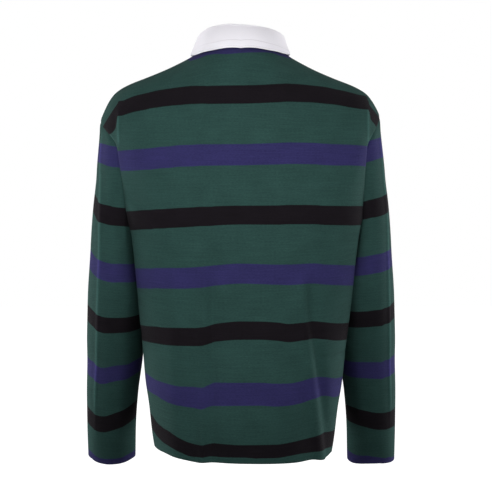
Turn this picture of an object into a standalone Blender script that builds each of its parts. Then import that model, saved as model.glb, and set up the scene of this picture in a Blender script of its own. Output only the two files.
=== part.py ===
"""Long-sleeve striped polo shirt, worn and hollow, as separate cloth solids.

Metres, +Z up. The front faces -Y, the back +Y, and the wearer's left is +X. The origin lies on
the centreline between the shoulders, level with the neck ends of the shoulder seams.

Each cloth piece is a grid of points on the garment's surface, thickened into a closed wall. The
body is a dome from the neck and the shoulder seams down to the blades, then rings down to the
hem, pressed in where the sleeves hang against it. A sleeve is a bent tube that starts on the
armhole seam. Neighbouring pieces share their seam points and stop short of them by half a gap.
"""

import math

import bpy
import numpy as np
from mathutils import Vector
from mathutils.bvhtree import BVHTree

# Cloth
KNIT_WALL = 0.0020
WOVEN_WALL = 0.0020
SEAM_GAP = 0.0003
ARM_CLEARANCE = 0.0055  # between the middle of a sleeve's wall and that of the pressed side
PRESS_TOP = -0.2800  # height from which the sleeves press the sides in, over PRESS_FADE
PRESS_FADE = 0.0480
PRESS_SOFTNESS = 0.0030  # how gently the pressed part runs into the free part
PRESS_FLARE = 1.5  # how fast the pressed side opens beyond the sleeve's own depth

# Neck
NECK_HALF_WIDTH = 0.0740
NECK_BACK = 0.0600
NECK_FRONT = 0.0760
NECK_SIDE_HEIGHT = 0.0040
NECK_BACK_RISE = 0.0060
NECK_FRONT_DROP = 0.0590

# Collar
STAND_INSET = 0.0021
STAND_FOOT = 0.0012
STAND_LEAN = 0.0010
FOLD_RADIUS = 0.0027
FOLD_SIDE_HEIGHT = 0.0300
FOLD_BACK_RISE = 0.0140
FOLD_FRONT_DROP = 0.0530
LEAF_CLEARANCE = 0.0042
LEAF_BULGE = 0.0050
NORMAL_REACH = 0.0080  # distance from the collar's edge at which the cloth under it is felt
NORMAL_RAYS = 8
RAY_START = 0.3000  # a height above the whole shirt
COLLAR_FRONT_ANGLE = 178.6  # degrees from centre back to each front end
FOLD_TURNS = (50, 90, 130)  # degrees round the fold at which the collar has a row
FALL_SHARES = (0, 0.33, 0.67, 1)  # shares of the fall at which the collar has a row

# Placket and buttons
PLACKET_HALF_WIDTH = 0.0160
PLACKET_OVERLAP = 0.0012
PLACKET_LIFT = 0.0027
PLACKET_TAIL = 0.15  # share of a row by which the upper strip passes the slit's foot
BUTTON_RADIUS = 0.0057
BUTTON_THICKNESS = 0.0024
BUTTON_DISH = 0.0008
BUTTON_SEGMENTS = 14
BUTTON_HEIGHTS = (-0.078, -0.134, -0.190)

# Shoulder seam, from the neck to the shoulder point: x, height
SHOULDER = (
    (0.0740, 0.0040),
    (0.0845, -0.0030),
    (0.1070, -0.0145),
    (0.1265, -0.0240),
    (0.1605, -0.0380),
    (0.1950, -0.0515),
    (0.2165, -0.0645),
    (0.2280, -0.0790),
    (0.2350, -0.0930),
    (0.2400, -0.1060),
    (0.2425, -0.1140),
)
SHOULDER_END = {1: 1.0, -1: 0.950}  # share of that seam used on the left and on the right
SHOULDER_SAG = {1: 0.0, -1: 0.0025}  # how much lower the middle of that seam hangs

# Armhole seam from the shoulder point round the back to the armpit: x, y, height
ARMHOLE = (
    (0.2408, 0.0000, -0.1080),
    (0.2388, 0.0190, -0.1175),
    (0.2262, 0.0450, -0.1370),
    (0.2115, 0.0560, -0.1600),
    (0.2065, 0.0590, -0.1900),
    (0.2025, 0.0580, -0.2250),
    (0.1990, 0.0520, -0.2620),
    (0.1915, 0.0380, -0.2980),
    (0.1730, 0.0000, -0.3220),
)
FRONT_ARMHOLE_DEPTH = 0.95  # the front half's y as a share of the back half's
POINT_FADE = 0.40  # share of the seam over which its start moves to the shoulder seam's end
LEAN_DEPTH = 0.050  # distance from the shoulder line at which the armhole leans with the body

# Body rings: height, widest half width, back depth, front depth, squareness
RINGS = (
    (-0.140, 0.206, 0.1265, 0.1140, 2.3),
    (-0.190, 0.206, 0.1300, 0.1210, 2.4),
    (-0.225, 0.203, 0.1305, 0.1240, 2.5),
    (-0.262, 0.200, 0.1290, 0.1250, 2.6),
    (-0.298, 0.198, 0.1270, 0.1250, 2.7),
    (-0.330, 0.196, 0.1250, 0.1240, 2.7),
    (-0.423, 0.186, 0.1210, 0.1220, 2.7),
    (-0.502, 0.175, 0.1250, 0.1240, 2.6),
    (-0.556, 0.170, 0.1300, 0.1270, 2.5),
    (-0.604, 0.1630, 0.1310, 0.1290, 2.4),
    (-0.659, 0.1570, 0.1270, 0.1280, 2.3),
    (-0.689, 0.1525, 0.1230, 0.1260, 2.3),
)
HEM_SIDE_HEIGHT = -0.6820
HEM_CENTRE_DROP = 0.0070
HEM_TILT = 0.0300  # rise of the hem per metre towards the wearer's left

# How far the body hangs towards the wearer's right: height, offset in x
LEAN = (
    (-0.100, 0.0000),
    (-0.200, -0.0035),
    (-0.260, -0.0055),
    (-0.320, -0.0085),
    (-0.400, -0.0080),
    (-0.500, -0.0055),
    (-0.600, -0.0042),
    (-0.690, -0.0035),
)

# Sleeve sections: height, centre x, centre y, half width, half depth, tilt of the ring (degrees)
SLEEVE = (
    (-0.1130, 0.2000, 0.0000, 0.0415, 0.0500, 0.0),
    (-0.1500, 0.2015, 0.0000, 0.0440, 0.0560, 0.0),
    (-0.2050, 0.2035, 0.0005, 0.0467, 0.0600, 0.0),
    (-0.2610, 0.2095, 0.0000, 0.0467, 0.0590, 1.0),
    (-0.3310, 0.2157, -0.0020, 0.0455, 0.0580, 3.0),
    (-0.4165, 0.2185, -0.0140, 0.0493, 0.0570, 8.0),
    (-0.4870, 0.2225, -0.0360, 0.0498, 0.0530, 12.0),
    (-0.5300, 0.2255, -0.0530, 0.0485, 0.0500, 13.0),
    (-0.5910, 0.2324, -0.0770, 0.0456, 0.0450, 14.0),
    (-0.6530, 0.2373, -0.1050, 0.0436, 0.0410, 15.0),
    (-0.7205, 0.2415, -0.1460, 0.0430, 0.0385, 17.0),
)
CUFF_HEIGHT = SLEEVE[-1][0]
SEAM_FADE = 0.14  # length of sleeve over which the armhole's outline gives way to the tube

# Free edge of the collar's fall: angle from centre back (degrees), x, y
LEAF_EDGE = (
    (0, 0.0000, 0.0790),
    (30, 0.0440, 0.0700),
    (60, 0.0745, 0.0420),
    (90, 0.0868, 0.0020),
    (120, 0.0800, -0.0420),
    (150, 0.0610, -0.0760),
    (180, 0.0380, -0.0990),
)

# Largest folds of the body: side (+Y back, -Y front), x, half width, depth, top, bottom
FOLDS = (
    (1, 0.066, 0.034, -0.0050, -0.400, -0.700),
    (1, -0.118, 0.030, -0.0040, -0.450, -0.700),
    (-1, 0.062, 0.034, -0.0050, -0.380, -0.700),
    (-1, -0.076, 0.034, -0.0045, -0.420, -0.700),
)

ROW_DIP = 0.0080  # how far the middle of a row hangs below its edge at the blades
ARMPIT_ROW_HEIGHT = -0.3600  # middle of the row that ends at the armpit
EDGE_POWER = 7  # how sharply a row bends to reach its edge point
DOME_EDGE_POWER = 6  # the same for the rows of the dome
SIDE_SEAM_FADE = 0.12  # share of the side seam over which it leaves the armpit's point
SHARP_FROM = 0.45  # at a seam, how far both sides lean one way before it counts as sharp
SHARP_RANGE = 0.35

# Grid sizes
CURVE_SAMPLES = 24  # points between two rows of a table that is drawn as a curve
RING_SAMPLES = 72
WIDTH_TRIES = 14  # halvings used to find a ring's width
WIDEST_GUESS = 1.25  # the widest ring tried, as a share of the narrowest
NECK_STEPS = 6  # columns from centre back, or front, to the neck end of the shoulder seam
SHOULDER_STEPS = 8
DOME_STEPS = 6
ARMHOLE_STEPS = 6
SIDE_STEPS = 9
SLEEVE_STEPS = 14
NECK_SHARE = 0.31  # share of a half panel's width that lies under the neck
EDGE_CROWDING = 1.20  # above 1, columns lie closer together towards the side
PLACKET_ROWS = DOME_STEPS + 2

GREEN = (0.030, 0.062, 0.052)
WHITE = (0.75, 0.74, 0.76)
BUTTON_WHITE = (0.70, 0.69, 0.66)


def smooth_step(value):
    """0 below 0, 1 above 1, and an even S between."""
    t = np.clip(value, 0.0, 1.0)
    return t * t * (3 - 2 * t)


def column(table, key, at):
    """A table's column as a smooth curve of its first column, with no overshoot."""
    rows = np.array(sorted(table), float)
    x, y = rows[:, 0], rows[:, key]
    slope = np.diff(y) / np.diff(x)
    tangent = np.zeros(len(x))
    same = slope[:-1] * slope[1:] > 0
    sums = np.where(same, slope[:-1] + slope[1:], 1.0)
    tangent[1:-1] = np.where(same, 2 * slope[:-1] * slope[1:] / sums, 0.0)
    tangent[0], tangent[-1] = slope[0], slope[-1]
    at = np.clip(np.asarray(at, float), x[0], x[-1])
    i = np.clip(np.searchsorted(x, at) - 1, 0, len(x) - 2)
    width = x[i + 1] - x[i]
    t = (at - x[i]) / width
    return (
        y[i] * (1 + 2 * t) * (1 - t) ** 2
        + y[i + 1] * t * t * (3 - 2 * t)
        + width * (tangent[i] * t * (1 - t) ** 2 - tangent[i + 1] * t * t * (1 - t))
    )


def catmull(points, closed, samples=CURVE_SAMPLES):
    """A dense smooth line through the points."""
    points = np.array(points, float)
    count = len(points)
    if closed:
        padded = np.vstack([points[-1:], points, points[:2]])
        spans = count
    else:
        first, last = 2 * points[0] - points[1], 2 * points[-1] - points[-2]
        padded = np.vstack([first, points, last])
        spans = count - 1
    t = np.linspace(0, 1, samples, endpoint=False)[:, None]
    line = []
    for i in range(spans):
        a, b, c, d = padded[i : i + 4]
        line.append(
            b + 0.5 * t * (c - a + t * (2 * a - 5 * b + 4 * c - d + t * (3 * (b - c) + d - a)))
        )
    line.append(padded[spans + 1][None])
    return np.vstack(line)


def along(line, shares):
    """Points at these shares of a line's length."""
    steps = np.linalg.norm(np.diff(line, axis=0), axis=1)
    run = np.concatenate([[0], np.cumsum(steps)])
    at = np.clip(np.asarray(shares, float), 0, 1) * run[-1]
    return np.stack([np.interp(at, run, line[:, k]) for k in range(line.shape[1])], axis=-1)


def armhole_line(side, face):
    """Half of the armhole seam, from the shoulder point to the armpit, by equal lengths."""
    back = np.array(ARMHOLE)
    front = back * (1, -FRONT_ARMHOLE_DEPTH, 1)
    loop = catmull(np.vstack([back, front[-2:0:-1]]), closed=True)
    half = (len(ARMHOLE) - 1) * CURVE_SAMPLES
    line = loop[: half + 1] if face > 0 else loop[half:][::-1]
    end = shoulder_line(side)[-1]
    lift = np.array([abs(end[0]) - line[0, 0], 0, end[2] - line[0, 2]])
    share = np.linspace(0, 1, len(line))[:, None]
    line = line + lift * (1 - smooth_step(share / POINT_FADE))
    lean = column(LEAN, 1, line[:, 2]) * smooth_step(np.abs(line[:, 1]) / LEAN_DEPTH)
    return np.stack([side * line[:, 0] + lean, line[:, 1], line[:, 2]], axis=1)


def shoulder_line(side):
    """The shoulder seam on one side, from the neck to the shoulder point."""
    flat = catmull([(x, 0.0, z) for x, z in SHOULDER], closed=False)
    share = np.linspace(0, SHOULDER_END[side], len(flat))
    used = along(flat, share)
    used[:, 2] -= SHOULDER_SAG[side] * np.sin(math.pi * share)
    return used * (side, 1, 1)


def neck_height(y):
    """Height of the neck seam where it passes this y."""
    ahead = np.minimum(y, 0)
    slope = NECK_BACK_RISE / NECK_BACK
    drop = (NECK_FRONT_DROP - slope * NECK_FRONT) / NECK_FRONT**2
    return NECK_SIDE_HEIGHT + slope * y - drop * ahead**2


def neck_point(angle, inset=0.0):
    """Neck seam at an angle from centre back, in radians; positive towards +X."""
    angle = np.asarray(angle, float)
    depth = np.where(np.cos(angle) >= 0, NECK_BACK, NECK_FRONT) - inset
    x = (NECK_HALF_WIDTH - inset) * np.sin(angle)
    y = depth * np.cos(angle)
    return np.stack([x, y, neck_height(y)], axis=-1)


def top_edge(face, side, share):
    """The panel's top edge: half the neckline, then the shoulder seam."""
    from_centre = np.clip(share / NECK_SHARE, 0, 1) * math.pi / 2
    angle = from_centre if face > 0 else math.pi - from_centre
    neck = neck_point(side * angle)
    seam = along(shoulder_line(side), (share - NECK_SHARE) / (1 - NECK_SHARE))
    return np.where((share <= NECK_SHARE)[:, None], neck, seam)


def fold_offset(face, x, z):
    """How far the largest folds move the cloth in or out here."""
    total = np.zeros(np.broadcast(x, z).shape)
    for fold_face, centre, half_width, depth, top, bottom in FOLDS:
        if fold_face != face:
            continue
        across = np.exp(-2 * ((x - centre) / half_width) ** 2)
        down = smooth_step(2 * (top - z) / (top - bottom))
        total = total + depth * across * down
    return total


def pressed_x(x, y, height):
    """Distance from the centreline once the sleeve has pressed the body's side in."""
    centre_x = column(SLEEVE, 1, height)
    centre_y = column(SLEEVE, 2, height)
    reach_x = column(SLEEVE, 3, height) + ARM_CLEARANCE
    reach_y = column(SLEEVE, 4, height) + ARM_CLEARANCE
    share = ((y - centre_y) / reach_y) ** 2
    inner = centre_x - reach_x * np.sqrt(np.maximum(1 - share, 0))
    limit = inner + reach_x * PRESS_FLARE * np.sqrt(np.maximum(share - 1, 0))
    soft = -PRESS_SOFTNESS * np.logaddexp(-x / PRESS_SOFTNESS, -limit / PRESS_SOFTNESS)
    amount = smooth_step((PRESS_TOP - height) / PRESS_FADE)
    return x + amount * (soft - x)


def ring_points(face, side, height, edge_x, edge_y, share):
    """Plan of points on level half rings, each from the centreline to its own edge point."""
    height, edge_x, edge_y, share = np.broadcast_arrays(height, edge_x, edge_y, share)
    depth = column(RINGS, 2 if face > 0 else 3, height)[..., None]
    power = 2 / column(RINGS, 4, height)[..., None]
    widest = column(RINGS, 1, height) + side * column(LEAN, 1, height)
    reach = side * edge_x[..., None]
    edge_turn = np.arccos(np.clip(face * edge_y[..., None] / depth, 0, 1) ** (1 / power))
    along_ring = np.linspace(0, 1, RING_SAMPLES)
    turn = edge_turn * along_ring
    y = depth * np.maximum(np.cos(turn), 0) ** power
    wave = np.sin(turn) ** power

    def outline(width):
        x = pressed_x(width[..., None] * wave, face * y, height[..., None])
        return x + (reach - x[..., -1:]) * along_ring**EDGE_POWER

    low = (reach / wave[..., -1:])[..., 0]
    high = low * WIDEST_GUESS
    for _ in range(WIDTH_TRIES):
        middle = (low + high) / 2
        wide = outline(middle).max(axis=-1) >= widest
        low, high = np.where(wide, low, middle), np.where(wide, middle, high)
    x = outline(low)
    run = np.cumsum(np.hypot(np.diff(x), np.diff(y)), axis=-1)
    run = np.concatenate([np.zeros_like(run[..., :1]), run], axis=-1)
    at = share[..., None] * run[..., -1:]
    i = np.clip((run <= at).sum(axis=-1, keepdims=True) - 1, 0, RING_SAMPLES - 2)
    start, end = np.take_along_axis(run, i, -1), np.take_along_axis(run, i + 1, -1)
    t = (at - start) / (end - start)
    picked = []
    for values in (side * x, face * y):
        first, second = np.take_along_axis(values, i, -1), np.take_along_axis(values, i + 1, -1)
        picked.append((first + t * (second - first))[..., 0])
    return picked


def ring_row(face, side, middle_height, edge, share, run=0.0):
    """A row of points on the body, from its middle height to its edge point on a seam."""
    height = middle_height + (edge[2] - middle_height) * share**EDGE_POWER
    x, y = ring_points(face, side, height, edge[0], edge[1], share)
    drop = HEM_CENTRE_DROP * (1 - share**2) - HEM_TILT * x
    y = y + face * fold_offset(face, x, height) * (1 - share**EDGE_POWER)
    return np.stack([x, y, height - drop * run], axis=1)


def body_row(face, side, step, share):
    """One row of a panel half. step runs 0 to 1 down the dome, to 2 at the armpit, 3 at the hem."""
    split = DOME_STEPS / (DOME_STEPS + ARMHOLE_STEPS)
    seam = armhole_line(side, face)
    low_edge = along(seam, split)
    low_height = low_edge[2] - ROW_DIP
    if step > 2:
        run = step - 2
        height = seam[-1, 2] + (HEM_SIDE_HEIGHT - seam[-1, 2]) * run
        free = column(RINGS, 1, height) + side * column(LEAN, 1, height)
        pressed = pressed_x(free, 0.0, height)
        edge_x = seam[-1, 0] + (side * pressed - seam[-1, 0]) * smooth_step(run / SIDE_SEAM_FADE)
        middle = ARMPIT_ROW_HEIGHT + (HEM_SIDE_HEIGHT - ARMPIT_ROW_HEIGHT) * run
        return ring_row(face, side, middle, (edge_x, 0.0, height), share, run)
    if step >= 1:
        edge = along(seam, split + (1 - split) * (step - 1))
        middle = low_height + (ARMPIT_ROW_HEIGHT - low_height) * (step - 1)
        return ring_row(face, side, middle, edge, share)
    top = top_edge(face, side, share)
    low = ring_row(face, side, low_height, low_edge, share)
    rise, run = 1 - math.cos(step * math.pi / 2), math.sin(step * math.pi / 2)
    blend = np.array([rise, run, rise])
    row = top + (low - top) * blend
    last = top_edge(face, side, np.array([1.0]))[0]
    own = last + (low_edge - last) * blend
    return row + (along(seam, split * step) - own) * (share**DOME_EDGE_POWER)[:, None]


def column_shares():
    """Shares of a half panel's width at its columns, the first beside the placket."""
    beside = math.asin(PLACKET_HALF_WIDTH / NECK_HALF_WIDTH) / (math.pi / 2)
    neck = np.linspace(beside, 1, NECK_STEPS) * NECK_SHARE
    left = np.linspace(1, 0, SHOULDER_STEPS + 1)[1:] ** EDGE_CROWDING
    return np.concatenate([[0.0], neck, 1 - (1 - NECK_SHARE) * left])


def row_steps():
    """Where the panels' rows lie, in body_row's steps."""
    return np.concatenate(
        [
            np.linspace(0, 1, DOME_STEPS + 1),
            np.linspace(1, 2, ARMHOLE_STEPS + 1)[1:],
            np.linspace(2, 3, SIDE_STEPS + 1)[1:],
        ]
    )


def panel_grid(face):
    """All points of the back (face 1) or the front (face -1), from -X to +X."""
    share = column_shares()
    rows = []
    for step in row_steps():
        right = body_row(face, -1, step, share)[::-1]
        left = body_row(face, 1, step, share)
        middle = (left[0] + right[-1]) / 2 * (0, 1, 1)
        rows.append(np.vstack([right[:-1], middle, left[1:]]))
    grid = np.array(rows)
    if face < 0:
        centre = len(share) - 1
        grid[:, centre - 1, 0] = -PLACKET_HALF_WIDTH
        grid[:, centre + 1, 0] = PLACKET_HALF_WIDTH
    return grid


def sleeve_ring(side, height, turn):
    """Tube points at these heights and turns; a turn of 0 is outermost and 90 degrees is back."""
    tilt = np.radians(column(SLEEVE, 5, height))
    half_width, half_depth = column(SLEEVE, 3, height), column(SLEEVE, 4, height)
    x = column(SLEEVE, 1, height) + half_width * np.cos(turn)
    y = column(SLEEVE, 2, height) + half_depth * np.sin(turn) * np.cos(tilt)
    z = height - half_depth * np.sin(turn) * np.sin(tilt)
    return np.stack([side * x, y, z], axis=-1)


def sleeve_grid(side):
    """Rows from the armhole seam to the cuff; columns from the top round the back."""
    count = DOME_STEPS + ARMHOLE_STEPS
    shares = np.linspace(0, 1, count + 1)
    back = along(armhole_line(side, 1), shares)
    front = along(armhole_line(side, -1), shares)
    seam = np.vstack([back, front[-2:0:-1]])
    turn = np.linspace(0, 2 * math.pi, 2 * count, endpoint=False)
    start = seam[:, 2]
    lead = seam - sleeve_ring(side, start, turn)
    rows = []
    for q in np.linspace(0, 1, SLEEVE_STEPS + 1):
        height = start + (CUFF_HEIGHT - start) * q
        fade = 1 - smooth_step((start - height) / SEAM_FADE)
        rows.append(sleeve_ring(side, height, turn) + lead * fade[:, None])
    return np.array(rows)


def from_centreline(grid):
    """Directions out of the body, level with each point."""
    return grid * (1, 1, 0)


def from_axis(grid):
    """Directions out of a tube, from the middle of each of its rings."""
    return grid - grid.mean(axis=1, keepdims=True)


def from_stand(grid):
    """Directions away from the inside of the collar's fold."""
    return grid - grid.mean(axis=0, keepdims=True)


def grid_normals(grid, wraps, outward):
    """Unit normals of a grid of points, turned towards outward(points)."""
    if wraps:
        across = np.roll(grid, -1, axis=1) - np.roll(grid, 1, axis=1)
    else:
        across = np.gradient(grid, axis=1)
    down = np.gradient(grid, axis=0)
    normal = np.cross(across, down)
    normal /= np.linalg.norm(normal, axis=2, keepdims=True)
    sign = np.sign((normal * outward(grid)).sum())
    return normal * sign


def unit(vector):
    return vector / np.linalg.norm(vector)


def into_cloth(grid, row, column_index, wraps):
    """Direction from a grid point to the middle of the cells round it."""
    rows, columns = grid.shape[:2]
    middles = []
    for r in (row - 1, row):
        for c in (column_index - 1, column_index):
            if not 0 <= r < rows - 1 or (not wraps and not 0 <= c < columns - 1):
                continue
            following = (c + 1) % columns
            cell = grid[r, c] + grid[r, following] + grid[r + 1, c] + grid[r + 1, following]
            middles.append(cell / 4)
    return np.mean(middles, axis=0) - grid[row, column_index]


def sew(grids, normals, shifts, seam, closed):
    """Parts the two sides of a seam by the seam gap.

    seam holds, for each point along it, the (piece, row, column) of each member on either side.
    Where the cloth lies nearly flat, both sides share one wall direction. At a sharp valley each
    side keeps its own and moves away, so that its wall stays on its own side.
    """
    places = [grids[first[0][0]][first[0][1], first[0][2]] for first, _ in seam]
    count = len(seam)
    found = []
    for i, (first, second) in enumerate(seam):
        before, after = (i - 1) % count, (i + 1) % count
        if not closed:
            before, after = max(i - 1, 0), min(i + 1, count - 1)
        run = unit(places[after] - places[before])
        sides = []
        for members in (first, second):
            inward = sum(
                into_cloth(grids[name], r, c, name.startswith("sleeve")) for name, r, c in members
            )
            sides.append(unit(inward - run * np.dot(inward, run)))
        parting = unit(sides[1] - sides[0])
        lean = np.linalg.norm(sides[0] + sides[1]) / 2
        sharpness = smooth_step((lean - SHARP_FROM) / SHARP_RANGE)
        shared = np.cross(run, parting)
        own = (np.cross(run, -sides[0]), np.cross(run, sides[1]))
        walls = [unit(shared + (wall_way - shared) * sharpness) for wall_way in own]
        found.append((parting, shared, walls))
    outward = 0.0
    for (first, _), (_, shared, _) in zip(seam, found):
        outward += sum(np.dot(normals[name][r, c], shared) for name, r, c in first)
    facing = math.copysign(1, outward)
    for members_of, (parting, _, walls) in zip(seam, found):
        for members, way, direction in zip(members_of, (-1, 1), walls):
            apart = SEAM_GAP / 2 + abs(np.dot(direction, parting)) * KNIT_WALL / 2
            for name, r, c in members:
                normals[name][r, c] = direction * facing
                shifts[name][r, c] += parting * way * apart


def sew_all(grids, normals):
    """Sews the shoulders and sides first, then the armholes, which set the walls where they meet."""
    shifts = {name: np.zeros_like(grid) for name, grid in grids.items()}
    rows, columns = grids["back"].shape[:2]
    steps = DOME_STEPS + ARMHOLE_STEPS
    centre = columns // 2
    for way, edge, sleeve in ((1, columns - 1, "sleeve_left"), (-1, 0, "sleeve_right")):
        shoulder = range(centre + way * NECK_STEPS, edge + way, way)
        seam = [([("back", 0, c)], [("front", 0, c)]) for c in shoulder]
        sew(grids, normals, shifts, seam, closed=False)
        seam = [([("back", r, edge)], [("front", r, edge)]) for r in range(steps, rows)]
        sew(grids, normals, shifts, seam, closed=False)
        seam = []
        for k in range(2 * steps):
            panels = [("back", k, edge)] if k <= steps else []
            if k == 0 or k >= steps:
                panels.append(("front", (2 * steps - k) % (2 * steps), edge))
            seam.append((panels, [(sleeve, 0, k)]))
        sew(grids, normals, shifts, seam, closed=True)
    for name, grid in grids.items():
        grid += shifts[name]


def material(name, colour, roughness):
    made = bpy.data.materials.new(name)
    made.use_nodes = True
    shader = made.node_tree.nodes["Principled BSDF"]
    shader.inputs["Base Color"].default_value = (*colour, 1.0)
    shader.inputs["Roughness"].default_value = roughness
    shader.inputs["Metallic"].default_value = 0.0
    return made


def wall(name, grid, normals, thickness, finish, wraps=False, kept=None):
    """A closed cloth wall along a grid. kept says which cells have cloth."""
    rows, columns = grid.shape[:2]
    cells_across = columns if wraps else columns - 1
    if kept is None:
        kept = np.ones((rows - 1, cells_across), bool)
    shift = normals * thickness / 2
    points = np.concatenate([(grid + shift).reshape(-1, 3), (grid - shift).reshape(-1, 3)])
    inner = rows * columns
    faces, edges = [], {}
    for r in range(rows - 1):
        for c in range(cells_across):
            if not kept[r, c]:
                continue
            following = (c + 1) % columns
            a, b = r * columns + c, r * columns + following
            d, e = (r + 1) * columns + c, (r + 1) * columns + following
            faces.append((a, d, e, b))
            faces.append((inner + a, inner + b, inner + e, inner + d))
            for edge in ((a, d), (d, e), (e, b), (b, a)):
                if edge[::-1] in edges:
                    del edges[edge[::-1]]
                else:
                    edges[edge] = True
    for a, b in edges:
        faces.append((b, a, inner + a, inner + b))
    used = sorted({i for face in faces for i in face})
    place = {old: new for new, old in enumerate(used)}
    mesh = bpy.data.meshes.new(name)
    mesh.from_pydata(points[used].tolist(), [], [[place[i] for i in face] for face in faces])
    if signed_volume(points, faces) < 0:
        mesh.flip_normals()
    mesh.shade_smooth()
    mesh.set_sharp_from_angle(angle=math.radians(50))
    mesh.materials.append(finish)
    made = bpy.data.objects.new(name, mesh)
    bpy.context.scene.collection.objects.link(made)
    return made


def signed_volume(points, faces):
    """Six times the volume that the quads enclose, below 0 where they face inwards."""
    total = 0.0
    for a, b, c, d in faces:
        total += np.dot(points[a], np.cross(points[b], points[c]))
        total += np.dot(points[a], np.cross(points[c], points[d]))
    return total


def panel_tree(grids):
    """Both panels as a search tree, for what lies on them."""
    points, faces = [], []
    for panel in ("back", "front"):
        grid = grids[panel]
        rows, columns = grid.shape[:2]
        start = len(points)
        points.extend(map(Vector, grid.reshape(-1, 3).tolist()))
        for r in range(DOME_STEPS + 1):
            for c in range(columns - 1):
                a = start + r * columns + c
                faces.append((a, a + 1, a + columns + 1, a + columns))
    return BVHTree.FromPolygons(points, faces)


def lying_on(tree, x, y, lift):
    """The point above the panels at this x and y, lifted along their averaged normal."""
    down = Vector((0, 0, -1))
    start = Vector((x, y, RAY_START))
    total, heights = Vector((0, 0, 0)), []
    for angle in np.linspace(0, 2 * math.pi, NORMAL_RAYS, endpoint=False):
        beside = Vector((math.cos(angle), math.sin(angle), 0)) * NORMAL_REACH
        place, normal, _, _ = tree.ray_cast(start + beside, down)
        total += normal if normal.z > 0 else -normal
        heights.append(place.z)
    place = tree.ray_cast(start, down)[0]
    normal = np.array(total.normalized())
    height = max(place.z, sum(heights) / len(heights))
    return np.array([x, y, height]) + normal * lift


def fold_height(y):
    """Height of the collar's fold line where it passes this y."""
    ahead = np.minimum(y, 0)
    slope = FOLD_BACK_RISE / NECK_BACK
    drop = (FOLD_FRONT_DROP - slope * NECK_FRONT) / NECK_FRONT**2
    return FOLD_SIDE_HEIGHT + slope * y - drop * ahead**2


def collar_section(tree, angle):
    """Points up the stand, over the fold and down the fall, at one angle round the neck."""
    degrees = abs(math.degrees(angle))
    side = -1.0 if angle < 0 else 1.0
    foot = neck_point(angle, STAND_INSET) - (0, 0, STAND_FOOT)
    fold = neck_point(angle, STAND_INSET + STAND_LEAN)
    out = unit(np.array([math.sin(angle), math.cos(angle), 0.0]))
    crease = fold + out * FOLD_RADIUS
    crease[2] = fold_height(fold[1]) - FOLD_RADIUS
    up = np.array([0.0, 0.0, 1.0])
    inner = crease - out * FOLD_RADIUS
    outer = crease + out * FOLD_RADIUS
    arc = []
    for turn in np.radians(FOLD_TURNS):
        arc.append(crease + FOLD_RADIUS * (up * math.sin(turn) - out * math.cos(turn)))
    edge_x, edge_y = column(LEAF_EDGE, 1, degrees), column(LEAF_EDGE, 2, degrees)
    edge = lying_on(tree, side * edge_x, edge_y, LEAF_CLEARANCE)
    guide = (outer + edge) / 2 + out * LEAF_BULGE + up * LEAF_BULGE
    fall = []
    for t in FALL_SHARES:
        fall.append((1 - t) ** 2 * outer + 2 * t * (1 - t) * guide + t * t * edge)
    return np.array([foot, (foot + inner) / 2, inner, *arc, *fall])


def collar_angles():
    """Angles round the neck that match the panels' neck columns, ending at the front gap."""
    quarter = column_shares()[: NECK_STEPS + 1] / NECK_SHARE * math.pi / 2
    end = math.radians(COLLAR_FRONT_ANGLE)
    half = np.concatenate([quarter, (math.pi - quarter[::-1])[1:-1], [end]])
    return np.concatenate([-half[::-1][:-1], half])


def collar_grid(grids):
    tree = panel_tree(grids)
    return np.array([collar_section(tree, angle) for angle in collar_angles()]).transpose(1, 0, 2)


def placket_grid(front, normals, half_width, lift, first, last):
    """Three columns down the centre front, made from the front's own points."""
    centre = front.shape[1] // 2
    rows = []
    for r in range(first, last + 1):
        middle, normal = front[r, centre], normals[r, centre]
        beside = front[r, centre + 1]
        share = half_width / PLACKET_HALF_WIDTH
        edge = middle + (beside - middle) * share
        mirrored = edge * (-1, 1, 1)
        rows.append([mirrored + normal * lift, middle + normal * lift, edge + normal * lift])
    return np.array(rows)


def build_plackets(front, normals, finish):
    """The under strip fills the slit, and the upper strip lies over both its edges."""
    centre = front.shape[1] // 2
    level = np.repeat(normals[: PLACKET_ROWS + 1, centre : centre + 1], 3, axis=1)
    under = placket_grid(front, normals, PLACKET_HALF_WIDTH - SEAM_GAP, 0.0, 0, PLACKET_ROWS)
    under[-1] += (under[-2] - under[-1]) * SEAM_GAP / np.linalg.norm(under[-2, 1] - under[-1, 1])
    wall("placket_under", under, level, KNIT_WALL, finish)
    wide = PLACKET_HALF_WIDTH + PLACKET_OVERLAP
    upper = placket_grid(front, normals, wide, PLACKET_LIFT, 0, PLACKET_ROWS)
    tail = upper[-1] + (upper[-1] - upper[-2]) * PLACKET_TAIL
    upper = np.concatenate([upper, tail[None]])
    level = np.concatenate([level, level[-1:]])
    wall("placket_upper", upper, level, KNIT_WALL, finish)
    return upper, level


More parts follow.
